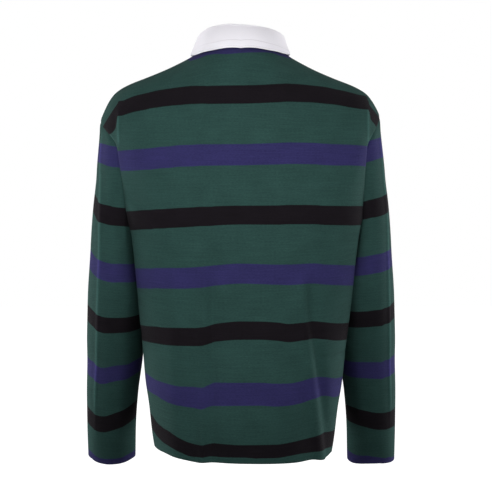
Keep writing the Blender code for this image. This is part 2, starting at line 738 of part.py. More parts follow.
def build_button(name, seat, normal, finish):
    """A small dished disc with its back just clear of the upper placket."""
    outline = (
        (0.0, 0.0),
        (0.85 * BUTTON_RADIUS, 0.0),
        (BUTTON_RADIUS, 0.60 * BUTTON_THICKNESS),
        (0.80 * BUTTON_RADIUS, BUTTON_THICKNESS),
        (0.55 * BUTTON_RADIUS, BUTTON_THICKNESS - BUTTON_DISH),
        (0.0, BUTTON_THICKNESS - BUTTON_DISH),
    )
    segments = BUTTON_SEGMENTS
    points = [(0.0, 0.0, outline[0][1])]
    for radius, height in outline[1:-1]:
        for i in range(segments):
            angle = 2 * math.pi * i / segments
            points.append((radius * math.cos(angle), radius * math.sin(angle), height))
    points.append((0.0, 0.0, outline[-1][1]))
    faces = []
    for i in range(segments):
        j = (i + 1) % segments
        faces.append((0, 1 + j, 1 + i))
        for ring in range(len(outline) - 3):
            a, b = 1 + ring * segments, 1 + (ring + 1) * segments
            faces.append((a + i, a + j, b + j, b + i))
        top = 1 + (len(outline) - 3) * segments
        faces.append((top + i, top + j, len(points) - 1))
    mesh = bpy.data.meshes.new(name)
    mesh.from_pydata(points, [], faces)
    mesh.shade_smooth()
    mesh.set_sharp_from_angle(angle=math.radians(35))
    mesh.materials.append(finish)
    made = bpy.data.objects.new(name, mesh)
    made.location = seat
    made.rotation_mode = "QUATERNION"
    made.rotation_quaternion = Vector(normal).to_track_quat("Z", "Y")
    bpy.context.scene.collection.objects.link(made)


def build_buttons(upper, level, finish):
    """Three buttons down the middle of the upper placket."""
    middle, normals = upper[:, 1], level[:, 1]
    for i, height in enumerate(BUTTON_HEIGHTS):
        order = middle[:, 2].argsort()
        seat = [np.interp(height, middle[order, 2], middle[order, k]) for k in range(3)]
        normal = [np.interp(height, middle[order, 2], normals[order, k]) for k in range(3)]
        normal = unit(np.array(normal))
        seat = np.array(seat) + normal * (KNIT_WALL / 2 + 2 * SEAM_GAP)
        build_button(f"button_{i + 1}", seat, normal, finish)


def clear_scene():
    for item in list(bpy.data.objects):
        bpy.data.objects.remove(item, do_unlink=True)


def main():
    clear_scene()
    knit = material("striped_knit", GREEN, 0.85)
    woven = material("white_woven", WHITE, 0.75)
    plastic = material("button_plastic", BUTTON_WHITE, 0.35)
    grids = {
        "back": panel_grid(1),
        "front": panel_grid(-1),
        "sleeve_left": sleeve_grid(1),
        "sleeve_right": sleeve_grid(-1),
    }
    normals = {
        "back": grid_normals(grids["back"], False, from_centreline),
        "front": grid_normals(grids["front"], False, from_centreline),
        "sleeve_left": grid_normals(grids["sleeve_left"], True, from_axis),
        "sleeve_right": grid_normals(grids["sleeve_right"], True, from_axis),
    }
    collar = collar_grid(grids)
    sew_all(grids, normals)

    rows, columns = grids["front"].shape[:2]
    slit = np.ones((rows - 1, columns - 1), bool)
    slit[:PLACKET_ROWS, columns // 2 - 1 : columns // 2 + 1] = False
    wall("back", grids["back"], normals["back"], KNIT_WALL, knit)
    wall("front", grids["front"], normals["front"], KNIT_WALL, knit, kept=slit)
    for name in ("sleeve_left", "sleeve_right"):
        wall(name, grids[name], normals[name], KNIT_WALL, knit, wraps=True)

    wall("collar", collar, grid_normals(collar, False, from_stand), WOVEN_WALL, woven)
    upper, level = build_plackets(grids["front"], normals["front"], knit)
    build_buttons(upper, level, plastic)


main()
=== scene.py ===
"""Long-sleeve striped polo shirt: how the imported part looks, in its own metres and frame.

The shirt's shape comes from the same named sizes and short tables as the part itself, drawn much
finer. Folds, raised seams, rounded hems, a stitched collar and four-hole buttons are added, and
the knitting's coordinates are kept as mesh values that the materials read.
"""

import math

import bmesh
import bpy
import numpy as np
from mathutils import Matrix, Vector
from mathutils.bvhtree import BVHTree

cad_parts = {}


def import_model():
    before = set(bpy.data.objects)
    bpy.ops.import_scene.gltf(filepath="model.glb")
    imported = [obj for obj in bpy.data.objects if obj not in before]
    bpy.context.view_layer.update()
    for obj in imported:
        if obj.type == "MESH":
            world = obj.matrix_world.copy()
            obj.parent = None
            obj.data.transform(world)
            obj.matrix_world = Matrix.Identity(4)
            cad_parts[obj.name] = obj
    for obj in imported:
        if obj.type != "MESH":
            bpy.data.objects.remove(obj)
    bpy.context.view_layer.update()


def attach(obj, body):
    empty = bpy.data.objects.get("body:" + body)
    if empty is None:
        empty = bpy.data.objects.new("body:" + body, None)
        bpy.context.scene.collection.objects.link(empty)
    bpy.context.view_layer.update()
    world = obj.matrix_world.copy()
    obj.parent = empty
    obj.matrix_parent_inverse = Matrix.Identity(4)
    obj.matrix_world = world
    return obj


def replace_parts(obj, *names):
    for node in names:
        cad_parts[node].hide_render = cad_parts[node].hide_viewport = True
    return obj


# Cloth
KNIT_WALL = 0.002
WOVEN_WALL = 0.002
SEAM_GAP = 0.0003
SEWN_GAP = 0.00005  # between two pieces sewn edge to edge
ARM_CLEARANCE = 0.0055  # between the middle of a sleeve's wall and that of the pressed side
PRESS_TOP = -0.28  # height from which the sleeves press the sides in, over PRESS_FADE
PRESS_FADE = 0.048
PRESS_SOFTNESS = 0.003  # how gently the pressed part runs into the free part
PRESS_FLARE = 1.5  # how fast the pressed side opens beyond the sleeve's own depth

# Neck
NECK_HALF_WIDTH = 0.074
NECK_BACK = 0.06
NECK_FRONT = 0.076
NECK_SIDE_HEIGHT = 0.004
NECK_BACK_RISE = 0.006
NECK_FRONT_DROP = 0.059

# Collar
STAND_INSET = 0.0021
STAND_FOOT = 0.0012
STAND_LEAN = 0.001
FOLD_RADIUS = 0.0027
FOLD_SIDE_HEIGHT = 0.03
FOLD_BACK_RISE = 0.014
FOLD_FRONT_DROP = 0.053
LEAF_CLEARANCE = 0.0042
LEAF_BULGE = 0.005
NORMAL_REACH = 0.008  # distance from the collar's edge at which the cloth under it is felt
NORMAL_RAYS = 8
RAY_START = 0.3  # a height above the whole shirt
COLLAR_FRONT_ANGLE = 178.6  # degrees from centre back to each front end

# Placket and buttons
PLACKET_HALF_WIDTH = 0.016
PLACKET_OVERLAP = 0.0012
PLACKET_LIFT = 0.0027
PLACKET_TAIL = 0.15  # share of a row by which the upper strip passes the slit's foot
BUTTON_RADIUS = 0.0057
BUTTON_THICKNESS = 0.0024
BUTTON_HEIGHTS = (-0.078, -0.134, -0.19)

# Shoulder seam, from the neck to the shoulder point: x, height
SHOULDER = (
    (0.074, 0.004), (0.0845, -0.003), (0.107, -0.0145), (0.1265, -0.024), (0.1605, -0.038),
    (0.195, -0.0515), (0.2165, -0.0645), (0.228, -0.079), (0.235, -0.093), (0.24, -0.106),
    (0.2425, -0.114),
)
SHOULDER_END = {1: 1, -1: 0.95}  # share of that seam used on the left and on the right
SHOULDER_SAG = {1: 0, -1: 0.0025}  # how much lower the middle of that seam hangs

# Armhole seam from the shoulder point round the back to the armpit: x, y, height
ARMHOLE = (
    (0.2408, 0, -0.108), (0.2388, 0.019, -0.1175), (0.2262, 0.045, -0.137),
    (0.2115, 0.056, -0.16), (0.2065, 0.059, -0.19), (0.2025, 0.058, -0.225),
    (0.199, 0.052, -0.262), (0.1915, 0.038, -0.298), (0.173, 0, -0.322),
)
FRONT_ARMHOLE_DEPTH = 0.95  # the front half's y as a share of the back half's
POINT_FADE = 0.4  # share of the seam over which its start moves to the shoulder seam's end
LEAN_DEPTH = 0.05  # distance from the shoulder line at which the armhole leans with the body

# Body rings: height, widest half width, back depth, front depth, squareness
RINGS = (
    (-0.14, 0.206, 0.1265, 0.114, 2.3), (-0.19, 0.206, 0.13, 0.121, 2.4),
    (-0.225, 0.203, 0.1305, 0.124, 2.5), (-0.262, 0.2, 0.129, 0.125, 2.6),
    (-0.298, 0.198, 0.127, 0.125, 2.7), (-0.33, 0.196, 0.125, 0.124, 2.7),
    (-0.423, 0.186, 0.121, 0.122, 2.7), (-0.502, 0.175, 0.125, 0.124, 2.6),
    (-0.556, 0.17, 0.13, 0.127, 2.5), (-0.604, 0.163, 0.131, 0.129, 2.4),
    (-0.659, 0.157, 0.127, 0.128, 2.3), (-0.689, 0.1525, 0.123, 0.126, 2.3),
)
HEM_SIDE_HEIGHT = -0.682
HEM_CENTRE_DROP = 0.007
HEM_TILT = 0.03  # rise of the hem per metre towards the wearer's left

# How far the body hangs towards the wearer's right: height, offset in x
LEAN = (
    (-0.1, 0), (-0.2, -0.0035), (-0.26, -0.0055), (-0.32, -0.0085), (-0.4, -0.008),
    (-0.5, -0.0055), (-0.6, -0.0042), (-0.69, -0.0035),
)

# Sleeve sections: height, centre x, centre y, half width, half depth, tilt of the ring (degrees)
SLEEVE = (
    (-0.113, 0.2, 0, 0.0415, 0.05, 0), (-0.15, 0.2015, 0, 0.044, 0.056, 0),
    (-0.205, 0.2035, 0.0005, 0.0467, 0.06, 0), (-0.261, 0.2095, 0, 0.0467, 0.059, 1),
    (-0.331, 0.2157, -0.002, 0.0455, 0.058, 3), (-0.4165, 0.2185, -0.014, 0.0493, 0.057, 8),
    (-0.487, 0.2225, -0.036, 0.0498, 0.053, 12), (-0.53, 0.2255, -0.053, 0.0485, 0.05, 13),
    (-0.591, 0.2324, -0.077, 0.0456, 0.045, 14), (-0.653, 0.2373, -0.105, 0.0436, 0.041, 15),
    (-0.7205, 0.2415, -0.146, 0.043, 0.0385, 17),
)
CUFF_HEIGHT = SLEEVE[-1][0]
SEAM_FADE = 0.14  # length of sleeve over which the armhole's outline gives way to the tube

# Free edge of the collar's fall: angle from centre back (degrees), x, y
LEAF_EDGE = (
    (0, 0, 0.079), (30, 0.044, 0.07), (60, 0.0745, 0.042), (90, 0.0868, 0.002),
    (120, 0.08, -0.042), (150, 0.061, -0.076), (180, 0.038, -0.099),
)

# Largest folds of the back (1) and the front (-1): x, half width, depth, top, bottom
FOLDS = {
    1: ((0.066, 0.034, -0.005, -0.4, -0.7), (-0.118, 0.03, -0.004, -0.45, -0.7)),
    -1: ((0.062, 0.034, -0.005, -0.38, -0.7), (-0.076, 0.034, -0.0045, -0.42, -0.7)),
}

ROW_DIP = 0.008  # how far the middle of a row hangs below its edge at the blades
ARMPIT_ROW_HEIGHT = -0.36  # middle of the row that ends at the armpit
EDGE_POWER = 7  # how sharply a row bends to reach its edge point
DOME_EDGE_POWER = 6  # the same for the rows of the dome
SIDE_SEAM_FADE = 0.12  # share of the side seam over which it leaves the armpit's point
SHARP_FROM = 0.45  # at a seam, how far both sides lean one way before it counts as sharp
SHARP_RANGE = 0.35

# Grid sizes
CURVE_SAMPLES = 24  # points between two rows of a table that is drawn as a curve
RING_SAMPLES = 72
WIDTH_TRIES = 14  # halvings used to find a ring's width
WIDEST_GUESS = 1.25  # the widest ring tried, as a share of the narrowest
DOME_STEPS = 6
ARMHOLE_STEPS = 6
NECK_SHARE = 0.31  # share of a half panel's width that lies under the neck
EDGE_CROWDING = 1.2  # above 1, columns lie closer together towards the side

# Fine grid
PLACKET_COLUMNS = 4
NECK_COLUMNS = 20
SHOULDER_COLUMNS = 58
DOME_ROWS = 42
ARMHOLE_ROWS = 42
SIDE_ROWS = 84
SLEEVE_ROWS = 124
SLIT_ROWS = DOME_ROWS + ARMHOLE_ROWS // 3
COLLAR_COLUMNS = 161
STRIP_COLUMNS = 17
RIM_RADIUS = 0.001
RIM_SHARES = (1.0, 0.55, 0.22, 0.06, 0.0)

# Seams and folds
SEAM_EASE = 0.022  # distance from a seam over which folds fade
PUFF_AT = 0.0055  # distance from a seam at which the cloth beside it stands highest
PUFF_HEIGHT = 0.0013
NECK_EASE = 0.03  # distance from the neck over which the shoulder seam starts to stand
SMOOTHING = 40  # passes that even out the ridge running down from each end of the neck
SMOOTH_FROM = 0.004
SMOOTH_EASE = 0.02
SETTLING = 70  # passes that smooth the front below the armpits, down its columns
SETTLE_SPAN = (-0.6, -0.37, 0.05, 0.02)  # lowest and highest part, and the fade of each end
SIDE_PUFF = 0.35  # how high the side and shoulder seams stand, as a share of the armhole's

# Upright folds of the back (1) and the front (-1): x at the top, x at the foot, half width,
# depth, top, bottom, fade at the top, fade at the foot. CORNER_FOLDS are on both.
CORNER_FOLDS = (
    (0.2085, 0.2065, 0.0045, 0.0012, -0.105, -0.155, 0.008, 0.008),
    (-0.2165, -0.215, 0.0045, 0.0012, -0.1, -0.15, 0.008, 0.008),
)
BODY_FOLDS = {
    1: (
        (0.06, 0.063, 0.011, 0.0026, -0.39, -0.72, 0.08, 0.02),
        (0.044, 0.047, 0.011, -0.0026, -0.39, -0.72, 0.08, 0.02),
        (0.022, 0.026, 0.018, 0.0014, -0.42, -0.72, 0.1, 0.02),
        (-0.002, 0.004, 0.016, 0.001, -0.5, -0.72, 0.08, 0.02),
        (0.112, 0.108, 0.02, 0.0014, -0.42, -0.72, 0.1, 0.02),
        (-0.1, -0.135, 0.013, 0.0044, -0.42, -0.7, 0.06, 0.03),
        (-0.118, -0.151, 0.013, -0.0046, -0.43, -0.7, 0.06, 0.03),
    ),
    -1: (
        (0.06, 0.068, 0.02, -0.004, -0.36, -0.72, 0.1, 0.02),
        (0.104, 0.11, 0.02, 0.002, -0.43, -0.72, 0.1, 0.02),
        (-0.028, -0.024, 0.02, 0.0014, -0.46, -0.72, 0.1, 0.02),
        (-0.074, -0.08, 0.018, -0.004, -0.4, -0.72, 0.1, 0.02),
        (-0.124, -0.128, 0.016, 0.0024, -0.45, -0.72, 0.08, 0.02),
    ),
}

# How much higher the hem runs than the part's: x, rise
HEM_SET = (
    (-0.17, 0), (-0.145, -0.003), (-0.133, -0.0015), (-0.118, 0.0015), (-0.09, 0), (0.03, 0),
    (0.05, -0.0015), (0.07, -0.0035), (0.09, -0.002), (0.11, 0), (0.13, 0.003), (0.145, 0.0034),
    (0.165, 0),
)
HEM_SET_FROM = -0.56  # height below which this starts, over HEM_SET_OVER, and folds turn level
HEM_SET_OVER = 0.14

# How much higher the cuffs run than the part's: turn, rise
CUFF_SET = {
    1: (
        (0, 0.0016), (20, 0.003), (35, 0.0034), (50, 0.0014), (65, 0.0004), (90, -0.0005),
        (120, -0.0004), (150, 0.0008), (180, -0.0015),
    ),
    -1: (
        (0, -0.0062), (35, -0.0034), (50, -0.0018), (65, -0.0003), (75, 0.001), (90, 0.0012),
        (105, 0.0004), (120, -0.0015), (150, -0.0052), (180, -0.0064),
    ),
}
CUFF_SET_FROM = -0.66  # height below which it starts, over CUFF_SET_OVER
CUFF_SET_OVER = 0.055

# Level folds of the back: height at the left end, height at the right end, sag, half width,
# depth, lowest x, highest x
LEVEL_FOLDS = (
    (-0.3, -0.33, 0.006, 0.016, 0.001, 0.06, 0.19),
    (-0.33, -0.3, 0.006, 0.016, 0.001, -0.19, -0.05),
)
LEVEL_FOLD_EASE = 0.35  # share of a level fold over which each end fades

# Lengthwise fold of each sleeve: turn at the top, turn at the foot, half width (degrees), depth,
# top, bottom, fade
SLEEVE_FOLD = {
    1: (122, 116, 20, 0.0012, -0.2, -0.64, 0.06),
    -1: (114, 120, 20, 0.0012, -0.23, -0.6, 0.06),
}

# The crease down the outer edge of each sleeve, the same on both faces: height, turn
SLEEVE_CREASE = {
    1: (
        (-0.15, 20), (-0.181, 24), (-0.216, 33), (-0.251, 43), (-0.286, 52), (-0.347, 57),
        (-0.438, 57), (-0.513, 56), (-0.583, 54), (-0.72, 53),
    ),
    -1: (
        (-0.15, 20), (-0.216, 26), (-0.286, 34), (-0.347, 39), (-0.438, 43), (-0.583, 44),
        (-0.72, 42),
    ),
}
CREASE_WIDTH = 6.0  # half width in degrees
CREASE_DEPTH = 0.0017
CREASE_SPAN = (-0.56, -0.16, 0.12, 0.03)  # lowest and highest part, and the fade of each end
CREASE_DEGREE = 0.00066  # length of one degree of turn

# Knitting
WALE = 0.00115
COURSE = 0.00095
TWILL = 0.0009
KNIT_SHEEN = 0.015
CUFF_BAND = 0.003
# Painted highlights: pale lines beside the armhole and side seams, along the folds before the
# armholes and down the sleeves' creases, standing in for light catching their ridges
SEAM_HIGHLIGHT_AT = 0.0026  # distance from a seam of the painted highlight's pale line
SEAM_HIGHLIGHT_WIDTH = 0.0017
SEAM_HIGHLIGHT_TOP = -0.148
SEAM_HIGHLIGHT_BOTTOM = -0.6
SEAM_HIGHLIGHT_SIDE = 0.45  # how pale that line is below the armpits, as a share
SEAM_HIGHLIGHT_FADE = 0.05
SEAM_HIGHLIGHT_TOP_FADE = 0.01
CORNER_HIGHLIGHT_FADE = 0.002
SEAM_HIGHLIGHT = 1.2
CREASE_HIGHLIGHT_WIDTH = 0.0026
CREASE_HIGHLIGHT = 0.62

# Stripes: top, bottom and colour, by height at the centre back or along the sleeve
GREEN = (0.0215, 0.055, 0.049)
NAVY = (0.0265, 0.0245, 0.09)
BLACK = (0.0085, 0.007, 0.009)
WHITE = (0.79, 0.77, 0.82)
BUTTON_WHITE = (0.74, 0.73, 0.7)
BODY_STRIPES = (
    (-0.0657, -0.0969, BLACK), (-0.1642, -0.1991, NAVY), (-0.2648, -0.2958, BLACK),
    (-0.3599, -0.3928, NAVY), (-0.455, -0.4851, BLACK), (-0.5551, -0.5925, NAVY),
    (-0.6573, -0.678, BLACK),
)
SLEEVE_STRIPES = (
    (-0.163, -0.198, NAVY), (-0.263, -0.294, BLACK), (-0.356, -0.386, NAVY),
    (-0.4445, -0.4715, BLACK), (-0.534, -0.564, NAVY), (-0.626, -0.657, BLACK),
    (-0.7095, -0.79, NAVY),
)

# How far each course of the back hangs below its height at the centre, in millimetres: the first
# row gives that height, and the first column x
BACK_DROOP = (
    (0, -66, -97, -181, -280, -376, -470, -555, -592, -657, -680),
    (-200, 6, 2, -3, -1, 5, 8, 0, -6, -14, -14),
    (-180, 2, 0, -3, 0, 4, 7, 0, -6, -14, -10),
    (-160, -1, -3, -2, 0, 3, 6, -1, -6, -11, -1),
    (-140, -4, -4, -2, 0, 2, 3, -5, -11, -12, -2),
    (-120, -5, -5, -3, -1, 0, 1, -6, -8, -8, -2),
    (-100, -6, -5, -3, -1, 1, 3, -1, -2, -5, -2),
    (-80, -6, -5, -3, -1, 2, 5, 2, 1, -2, 0),
    (-60, -4, -3, -2, 0, 2, 2, 2, 2, 0, 2),
    (-30, -1, -1, -1, 0, 1, 0, 0, 0, 0, 2),
    (0, 0, 0, 0, 0, 0, 0, 0, 0, 0, 0),
    (40, 0, 0, 0, 1, 3, 4, 0, 1, -2, 0),
    (50, 0, 0, 0, 2, 4, 7, 3, 2, -1, 0),
    (65, -1, -1, 0, 2, 6, 11, 9, 7, 2, 2),
    (80, -2, -1, 1, 3, 7, 12, 8, 5, 0, 2),
    (100, -1, 0, 1, 4, 8, 12, 8, 3, -7, -4),
    (120, 1, 1, 3, 5, 8, 12, 5, -1, -18, -12),
    (130, 2, 2, 3, 6, 8, 12, 3, -5, -22, -16),
    (140, 3, 3, 4, 6, 8, 11, 1, -10, -28, -23),
    (150, 5, 4, 5, 7, 9, 11, -3, -13, -38, -31),
    (160, 7, 6, 5, 7, 9, 11, -7, -16, -44, -38),
    (180, 11, 9, 5, 8, 9, 11, -8, -18, -48, -44),
    (200, 18, 14, 4, 8, 9, 11, -8, -18, -48, -44),
)

# Where the cloth folds over before each armhole: x, scale of the turned courses' height, their
# lift, their slope beyond the fold, and the height at which the fold ends
CORNER_FOLD = {1: (0.2095, 0.752, -0.0002, 1.06, -0.15), -1: (0.219, 1.17, 0.037, 1.23, -0.142)}
CORNER_WIDTH = 0.0016
CORNER_FADE = 0.012  # height over which the turned courses start

# How far each course of a sleeve rises above its own height, in millimetres: the first row gives
# that height, and the first column the turn from the outer edge
SLEEVE_RISE = {
    1: (
        (0, -180, -278, -371, -458, -549, -641, -710),
        (20, 9, 23, 19, 14, 10, 11, 4),
        (35, 5, 15, 13, 11, 8, 8, 4),
        (45, 2, 7, 9, 8, 8, 5, 3),
        (50, 1, 5, 7, 6, 6, 3, 2),
        (55, 0, 4, 6, 4, 4, 2, 1),
        (65, 0, 2, 3, 1, 0, 1, 0),
        (75, -2, 0, 1, 0, 1, 1, 0),
        (90, -5, -1, -1, 0, 5, 4, 1),
        (105, -6, -2, -1, 0, 7, 9, 1),
        (120, -6, -3, -2, 0, 7, 13, 1),
        (135, -6, -4, -3, 0, 10, 16, 3),
        (150, -6, -5, -3, 0, 12, 20, 3),
    ),
    -1: (
        (0, -180, -278, -371, -458, -549, -641, -710),
        (20, 19, 24, 22, 19, 13, 4, -2),
        (35, 15, 20, 20, 17, 14, 5, -1),
        (45, 12, 17, 18, 15, 13, 5, 1),
        (50, 10, 16, 17, 14, 12, 5, 1),
        (55, 9, 15, 16, 14, 12, 5, 0),
        (65, 7, 13, 15, 12, 10, 6, 1),
        (75, 5, 12, 14, 12, 11, 7, 2),
        (90, 3, 10, 12, 11, 12, 9, 4),
        (105, 2, 9, 10, 10, 12, 12, 6),
        (120, 2, 8, 9, 9, 11, 14, 6),
        (135, 2, 8, 9, 8, 9, 15, 7),
        (150, 2, 8, 9, 8, 9, 14, 9),
    ),
}

# Lower edge of the band under the collar: x, height
NECK_BAND = (
    (-0.096, 0.015), (-0.086, -0.01), (-0.065, -0.0085), (-0.05, -0.0058), (-0.022, -0.007),
    (0, -0.0084), (0.025, -0.0104), (0.042, -0.0088), (0.055, -0.0095), (0.07, -0.0128),
    (0.088, -0.015), (0.097, 0.015),
)

# Collar's set: angle from centre back, how far its free edge is drawn in, how far it is pushed
# back, its bulge as a share of the part's, rise of its fold
COLLAR_SET = (
    (-180, 0, 0, 1, 0), (-120, 0.0035, 0, 0.4, 0), (-105, 0.004, 0.006, 0.1, 0),
    (-90, 0.0045, 0.01, 0, 0), (-75, 0.004, 0.01, 0, 0), (-60, 0.003, 0.0055, 0.1, 0),
    (-30, 0.001, 0.0025, 0.9, 0), (0, 0, 0.0022, 1, 0.0008), (20, 0, 0.0022, 1, 0.003),
    (45, 0.001, 0.003, 0.8, 0.0032), (60, 0.0015, 0.0055, 0.2, 0.0012), (75, 0.0015, 0.01, 0, 0),
    (90, 0.0015, 0.01, 0, 0), (105, 0.002, 0.006, 0.1, 0), (120, 0.002, 0, 0.4, 0),
    (180, 0, 0, 1, 0),
)

# Raised line of the collar: angle from centre back, height above the free edge, strength of its
# rise and of the painted shadow along it
COLLAR_STEP = (
    (-110, 0.006, 0), (-80, 0.008, 0.8), (-40, 0.012, 1), (0, 0.0138, 1), (40, 0.0138, 0.5),
    (75, 0.012, 0),
)
COLLAR_STEP_RISE = 0.0006
COLLAR_STEP_WIDTH = 0.0016
COLLAR_SWELL = 0.5  # of that rise, just below the line
COLLAR_SWELL_AT = 0.002
COLLAR_SWELL_WIDTH = 0.003
COLLAR_STITCH_AT = 0.003
COLLAR_STITCH_WIDTH = 0.0016
COLLAR_STITCH_DEPTH = 0.0003
COLLAR_FALL = 0.62  # share of the collar's height over which these show
COLLAR_FALL_EASE = 0.01
TREE_ROWS = DOME_ROWS + 8  # rows of a panel that may lie under the collar

# Placket and buttons
STRIP_CROWN = 0.0004
STRIP_CROWN_EASE = 0.004
STRIP_CROWDING = 1.35  # above 1, a strip's columns lie closer together towards its edges
TAIL_SHARES = (0.35, 0.7, 0.85, 0.95, 1)
STITCH_AT = 0.0022
STITCH_WIDTH = 0.0012
STITCH_SINK = 0.0004
HOLE_AT = 0.0014
HOLE_RADIUS = 0.00055
THREAD_RADIUS = 0.00022
THREAD_POINTS = 9
THREAD_ARCH = 0.0005  # how high a thread stands over the dish
THREAD_SINK = 0.0004  # how far its ends go into the holes
THREAD_LIFT = 0.0001  # how much higher the second pair lies

# Camera and lights: name, place, aim, size, power
CAMERA_PLACE = (-0.00875, 2.1, -0.331)
CAMERA_LENS = 88
CAMERA_SENSOR = 36
FLOOR_HEIGHT = -1.05
FLOOR_HALF = 12.0
FLOOR_GLOW = 1.1
SURROUND_LIGHT = 0.15
LIGHTS = (
    ("key_back", (0.05, 0.85, -0.13), (0.02, 0, -0.14), (1.2, 0.26), 5.4),
    ("key_front", (-0.03, -0.87, -0.17), (-0.01, 0, -0.17), (1.2, 0.28), 4.4),
    ("top_back", (0, 0.45, 0.85), (0, 0.05, 0), (1.2, 0.4), 2.3),
    ("top_front", (0, -0.45, 0.85), (0, -0.05, 0), (1.2, 0.4), 2.3),
    ("slant_left", (1, 0.85, -0.14), (0.15, 0, -0.18), (0.35, 0.6), 5),
    ("slant_right", (-1, 0.85, -0.14), (-0.16, 0, -0.18), (0.35, 0.6), 3.9),
    ("side_left", (1.3, -0.6, -0.28), (0.15, -0.05, -0.32), (0.35, 0.8), 13.5),
    ("side_right", (-1.3, -0.6, -0.28), (-0.15, -0.05, -0.32), (0.35, 0.8), 13.5),
    ("low_left", (1.42, -0.4, -0.72), (0.2, 0, -0.55), (0.35, 0.4), 6),
    ("low_right", (-1.42, -0.4, -0.72), (-0.2, 0, -0.55), (0.35, 0.4), 6),
)

PANELS = {"back": 1, "front": -1}
SLEEVES = {"sleeve_left": 1, "sleeve_right": -1}
SEAM_ROWS = DOME_ROWS + ARMHOLE_ROWS  # rows of a panel from its top to the armpit
PUFF_EASE = 0.01  # distance over which one raised seam gives way to another
BODY_CREASE = 55  # degrees from which an edge of the cloth is drawn sharp
BUTTON_CREASE = 35
WALL_LEAST = 0.02  # least share of the wall, squared, at a rounded edge

# The button's outline from its foot to its dish: shares of its radius and of its thickness
BUTTON_PROFILE = (
    (0.82, 0), (0.95, 0.2), (1, 0.52), (0.965, 0.82), (0.88, 1), (0.78, 0.97), (0.66, 0.74),
    (0.5, 2 / 3),
)
BUTTON_SEGMENTS = 48
HOLE_SEGMENTS = 16
THREAD_SEGMENTS = 8

# Rows of the collar: steps up the stand and round the fold, and shares of the fall
STAND_STEPS = 8
FOLD_STEPS = 12
FALL_SHARES = (*np.linspace(0, 0.955, 30)[1:], 0.97, 0.985, 0.993, 1)

# Materials: roughness, sheen, sheen's roughness and gloss, then the relief's depth and strength
KNIT_LOOK = (0.92, KNIT_SHEEN, 0.45, 0.04)
TWILL_LOOK = (0.85, 0.15, 0.5, 0.04)
PLASTIC_LOOK = (0.32, 0, 0.5, 0.5)
THREAD_LOOK = (0.7, 0.2, 0.5, 0.04)
FLOOR_LOOK = (0.9, 0, 0.5, 0.04)
KNIT_RELIEF = (0.00022, 0.55)
TWILL_RELIEF = (0.00012, 0.4)
PLASTIC_RELIEF = (0.00008, 0.3)

# Unevenness of a shade: scale across, scale down, detail, offset, strength
KNIT_CLOUDS = ((18, 420, 2, 0, 0.42), (260, 520, 2, 7, 0.6), (26, 22, 3, 3, 0.34))
TWILL_CLOUDS = ((900, 900, 1, 0, 0.08), (25, 25, 2, 5, 0.05))
KNIT_BASE = 0.29  # shade before relief and unevenness are added
TWILL_BASE = 0.93
PLASTIC_CLOUDS = (220, 0.12, 0.92)  # scale, strength and base
THREAD_CLOUDS = (3000, 0.3, 0.8)

# How the loops of the knit and the lines of the twill slant and stand out, and the painted shade
# that darkens their hollows
LOOP_SLANT = 1.4
LOOP_HEIGHT = 0.28
RIB_HEIGHT = 0.6
LOOP_SHADE = 0.1
WEAVE_SLANT = 1.6
WEAVE_HEIGHT = 0.5
WEAVE_SHADE = 0.02
RAGGED = 0.0006  # how far single loops stray over a stripe's edge
RAGGED_CLOUDS = ((900, 900, 0, 0, RAGGED),)
PAINTED_HIGHLIGHTS = (  # painted highlights, pale lines: mesh value, distance from it, width and strength
    ("seam", SEAM_HIGHLIGHT_AT, SEAM_HIGHLIGHT_WIDTH, SEAM_HIGHLIGHT),
    ("crease", 0, CREASE_HIGHLIGHT_WIDTH, CREASE_HIGHLIGHT),
)
HEM_STITCHES = (0.0185, 0.024)  # distances of the hem's two rows of stitches from its edge
STITCH_HALF = 0.0005
HEM_DASHES = (0.0032, 0.72)  # pitch of the stitches, and share of it that a stitch covers
COLLAR_DASHES = (0.0026, 0.7)
HEM_LINE_SHADE, HEM_THREAD_SHADE = -0.3, 0.55  # painted shade darkens the sunk line, and its thread is lighter
HEM_LINE_HEIGHT, HEM_THREAD_HEIGHT = -3, 1.2
# painted shade darkens the collar's sunk stitch line, and a painted shadow darkens its raised line
COLLAR_LINE_SHADE, COLLAR_STEP_SHADE, COLLAR_THREAD_HEIGHT = -0.25, -0.16, 1.5
COLLAR_STEP_HALF = 0.0006
TURN = 2 * math.pi
MM_PER_METRE = 1000
CAMERA_NEAR = 0.01
FLOOR_GREY = (0.2, 0.2, 0.2, 1)
WHITE_LIGHT = (1, 1, 1, 1)


def smooth_step(value):
    """0 below 0, 1 above 1, and an even S between."""
    t = np.clip(value, 0.0, 1.0)
    return t * t * (3 - 2 * t)


def bump(value, width):
    """A soft hump, 1 at 0 and nearly nothing at the width."""
    return np.exp(-2 * (value / width) ** 2)


def between(value, low, high, low_fade, high_fade):
    """1 between low and high, easing to 0 over the fades outside them."""
    return smooth_step((value - low) / low_fade + 1) * smooth_step((high - value) / high_fade + 1)


def column(table, key, at):
    """A table's column as a smooth curve of its first column, with no overshoot."""
    rows = np.array(sorted(table), float)
    x, y = rows[:, 0], rows[:, key]
    slope = np.diff(y) / np.diff(x)
    tangent = np.zeros(len(x))
    same = slope[:-1] * slope[1:] > 0
    sums = np.where(same, slope[:-1] + slope[1:], 1.0)
    tangent[1:-1] = np.where(same, 2 * slope[:-1] * slope[1:] / sums, 0.0)
    tangent[0], tangent[-1] = slope[0], slope[-1]
    at = np.clip(np.asarray(at, float), x[0], x[-1])
    i = np.clip(np.searchsorted(x, at) - 1, 0, len(x) - 2)
    width = x[i + 1] - x[i]
    t = (at - x[i]) / width
    return (
        y[i] * (1 + 2 * t) * (1 - t) ** 2
        + y[i + 1] * t * t * (3 - 2 * t)
        + width * (tangent[i] * t * (1 - t) ** 2 - tangent[i + 1] * t * t * (1 - t))
    )


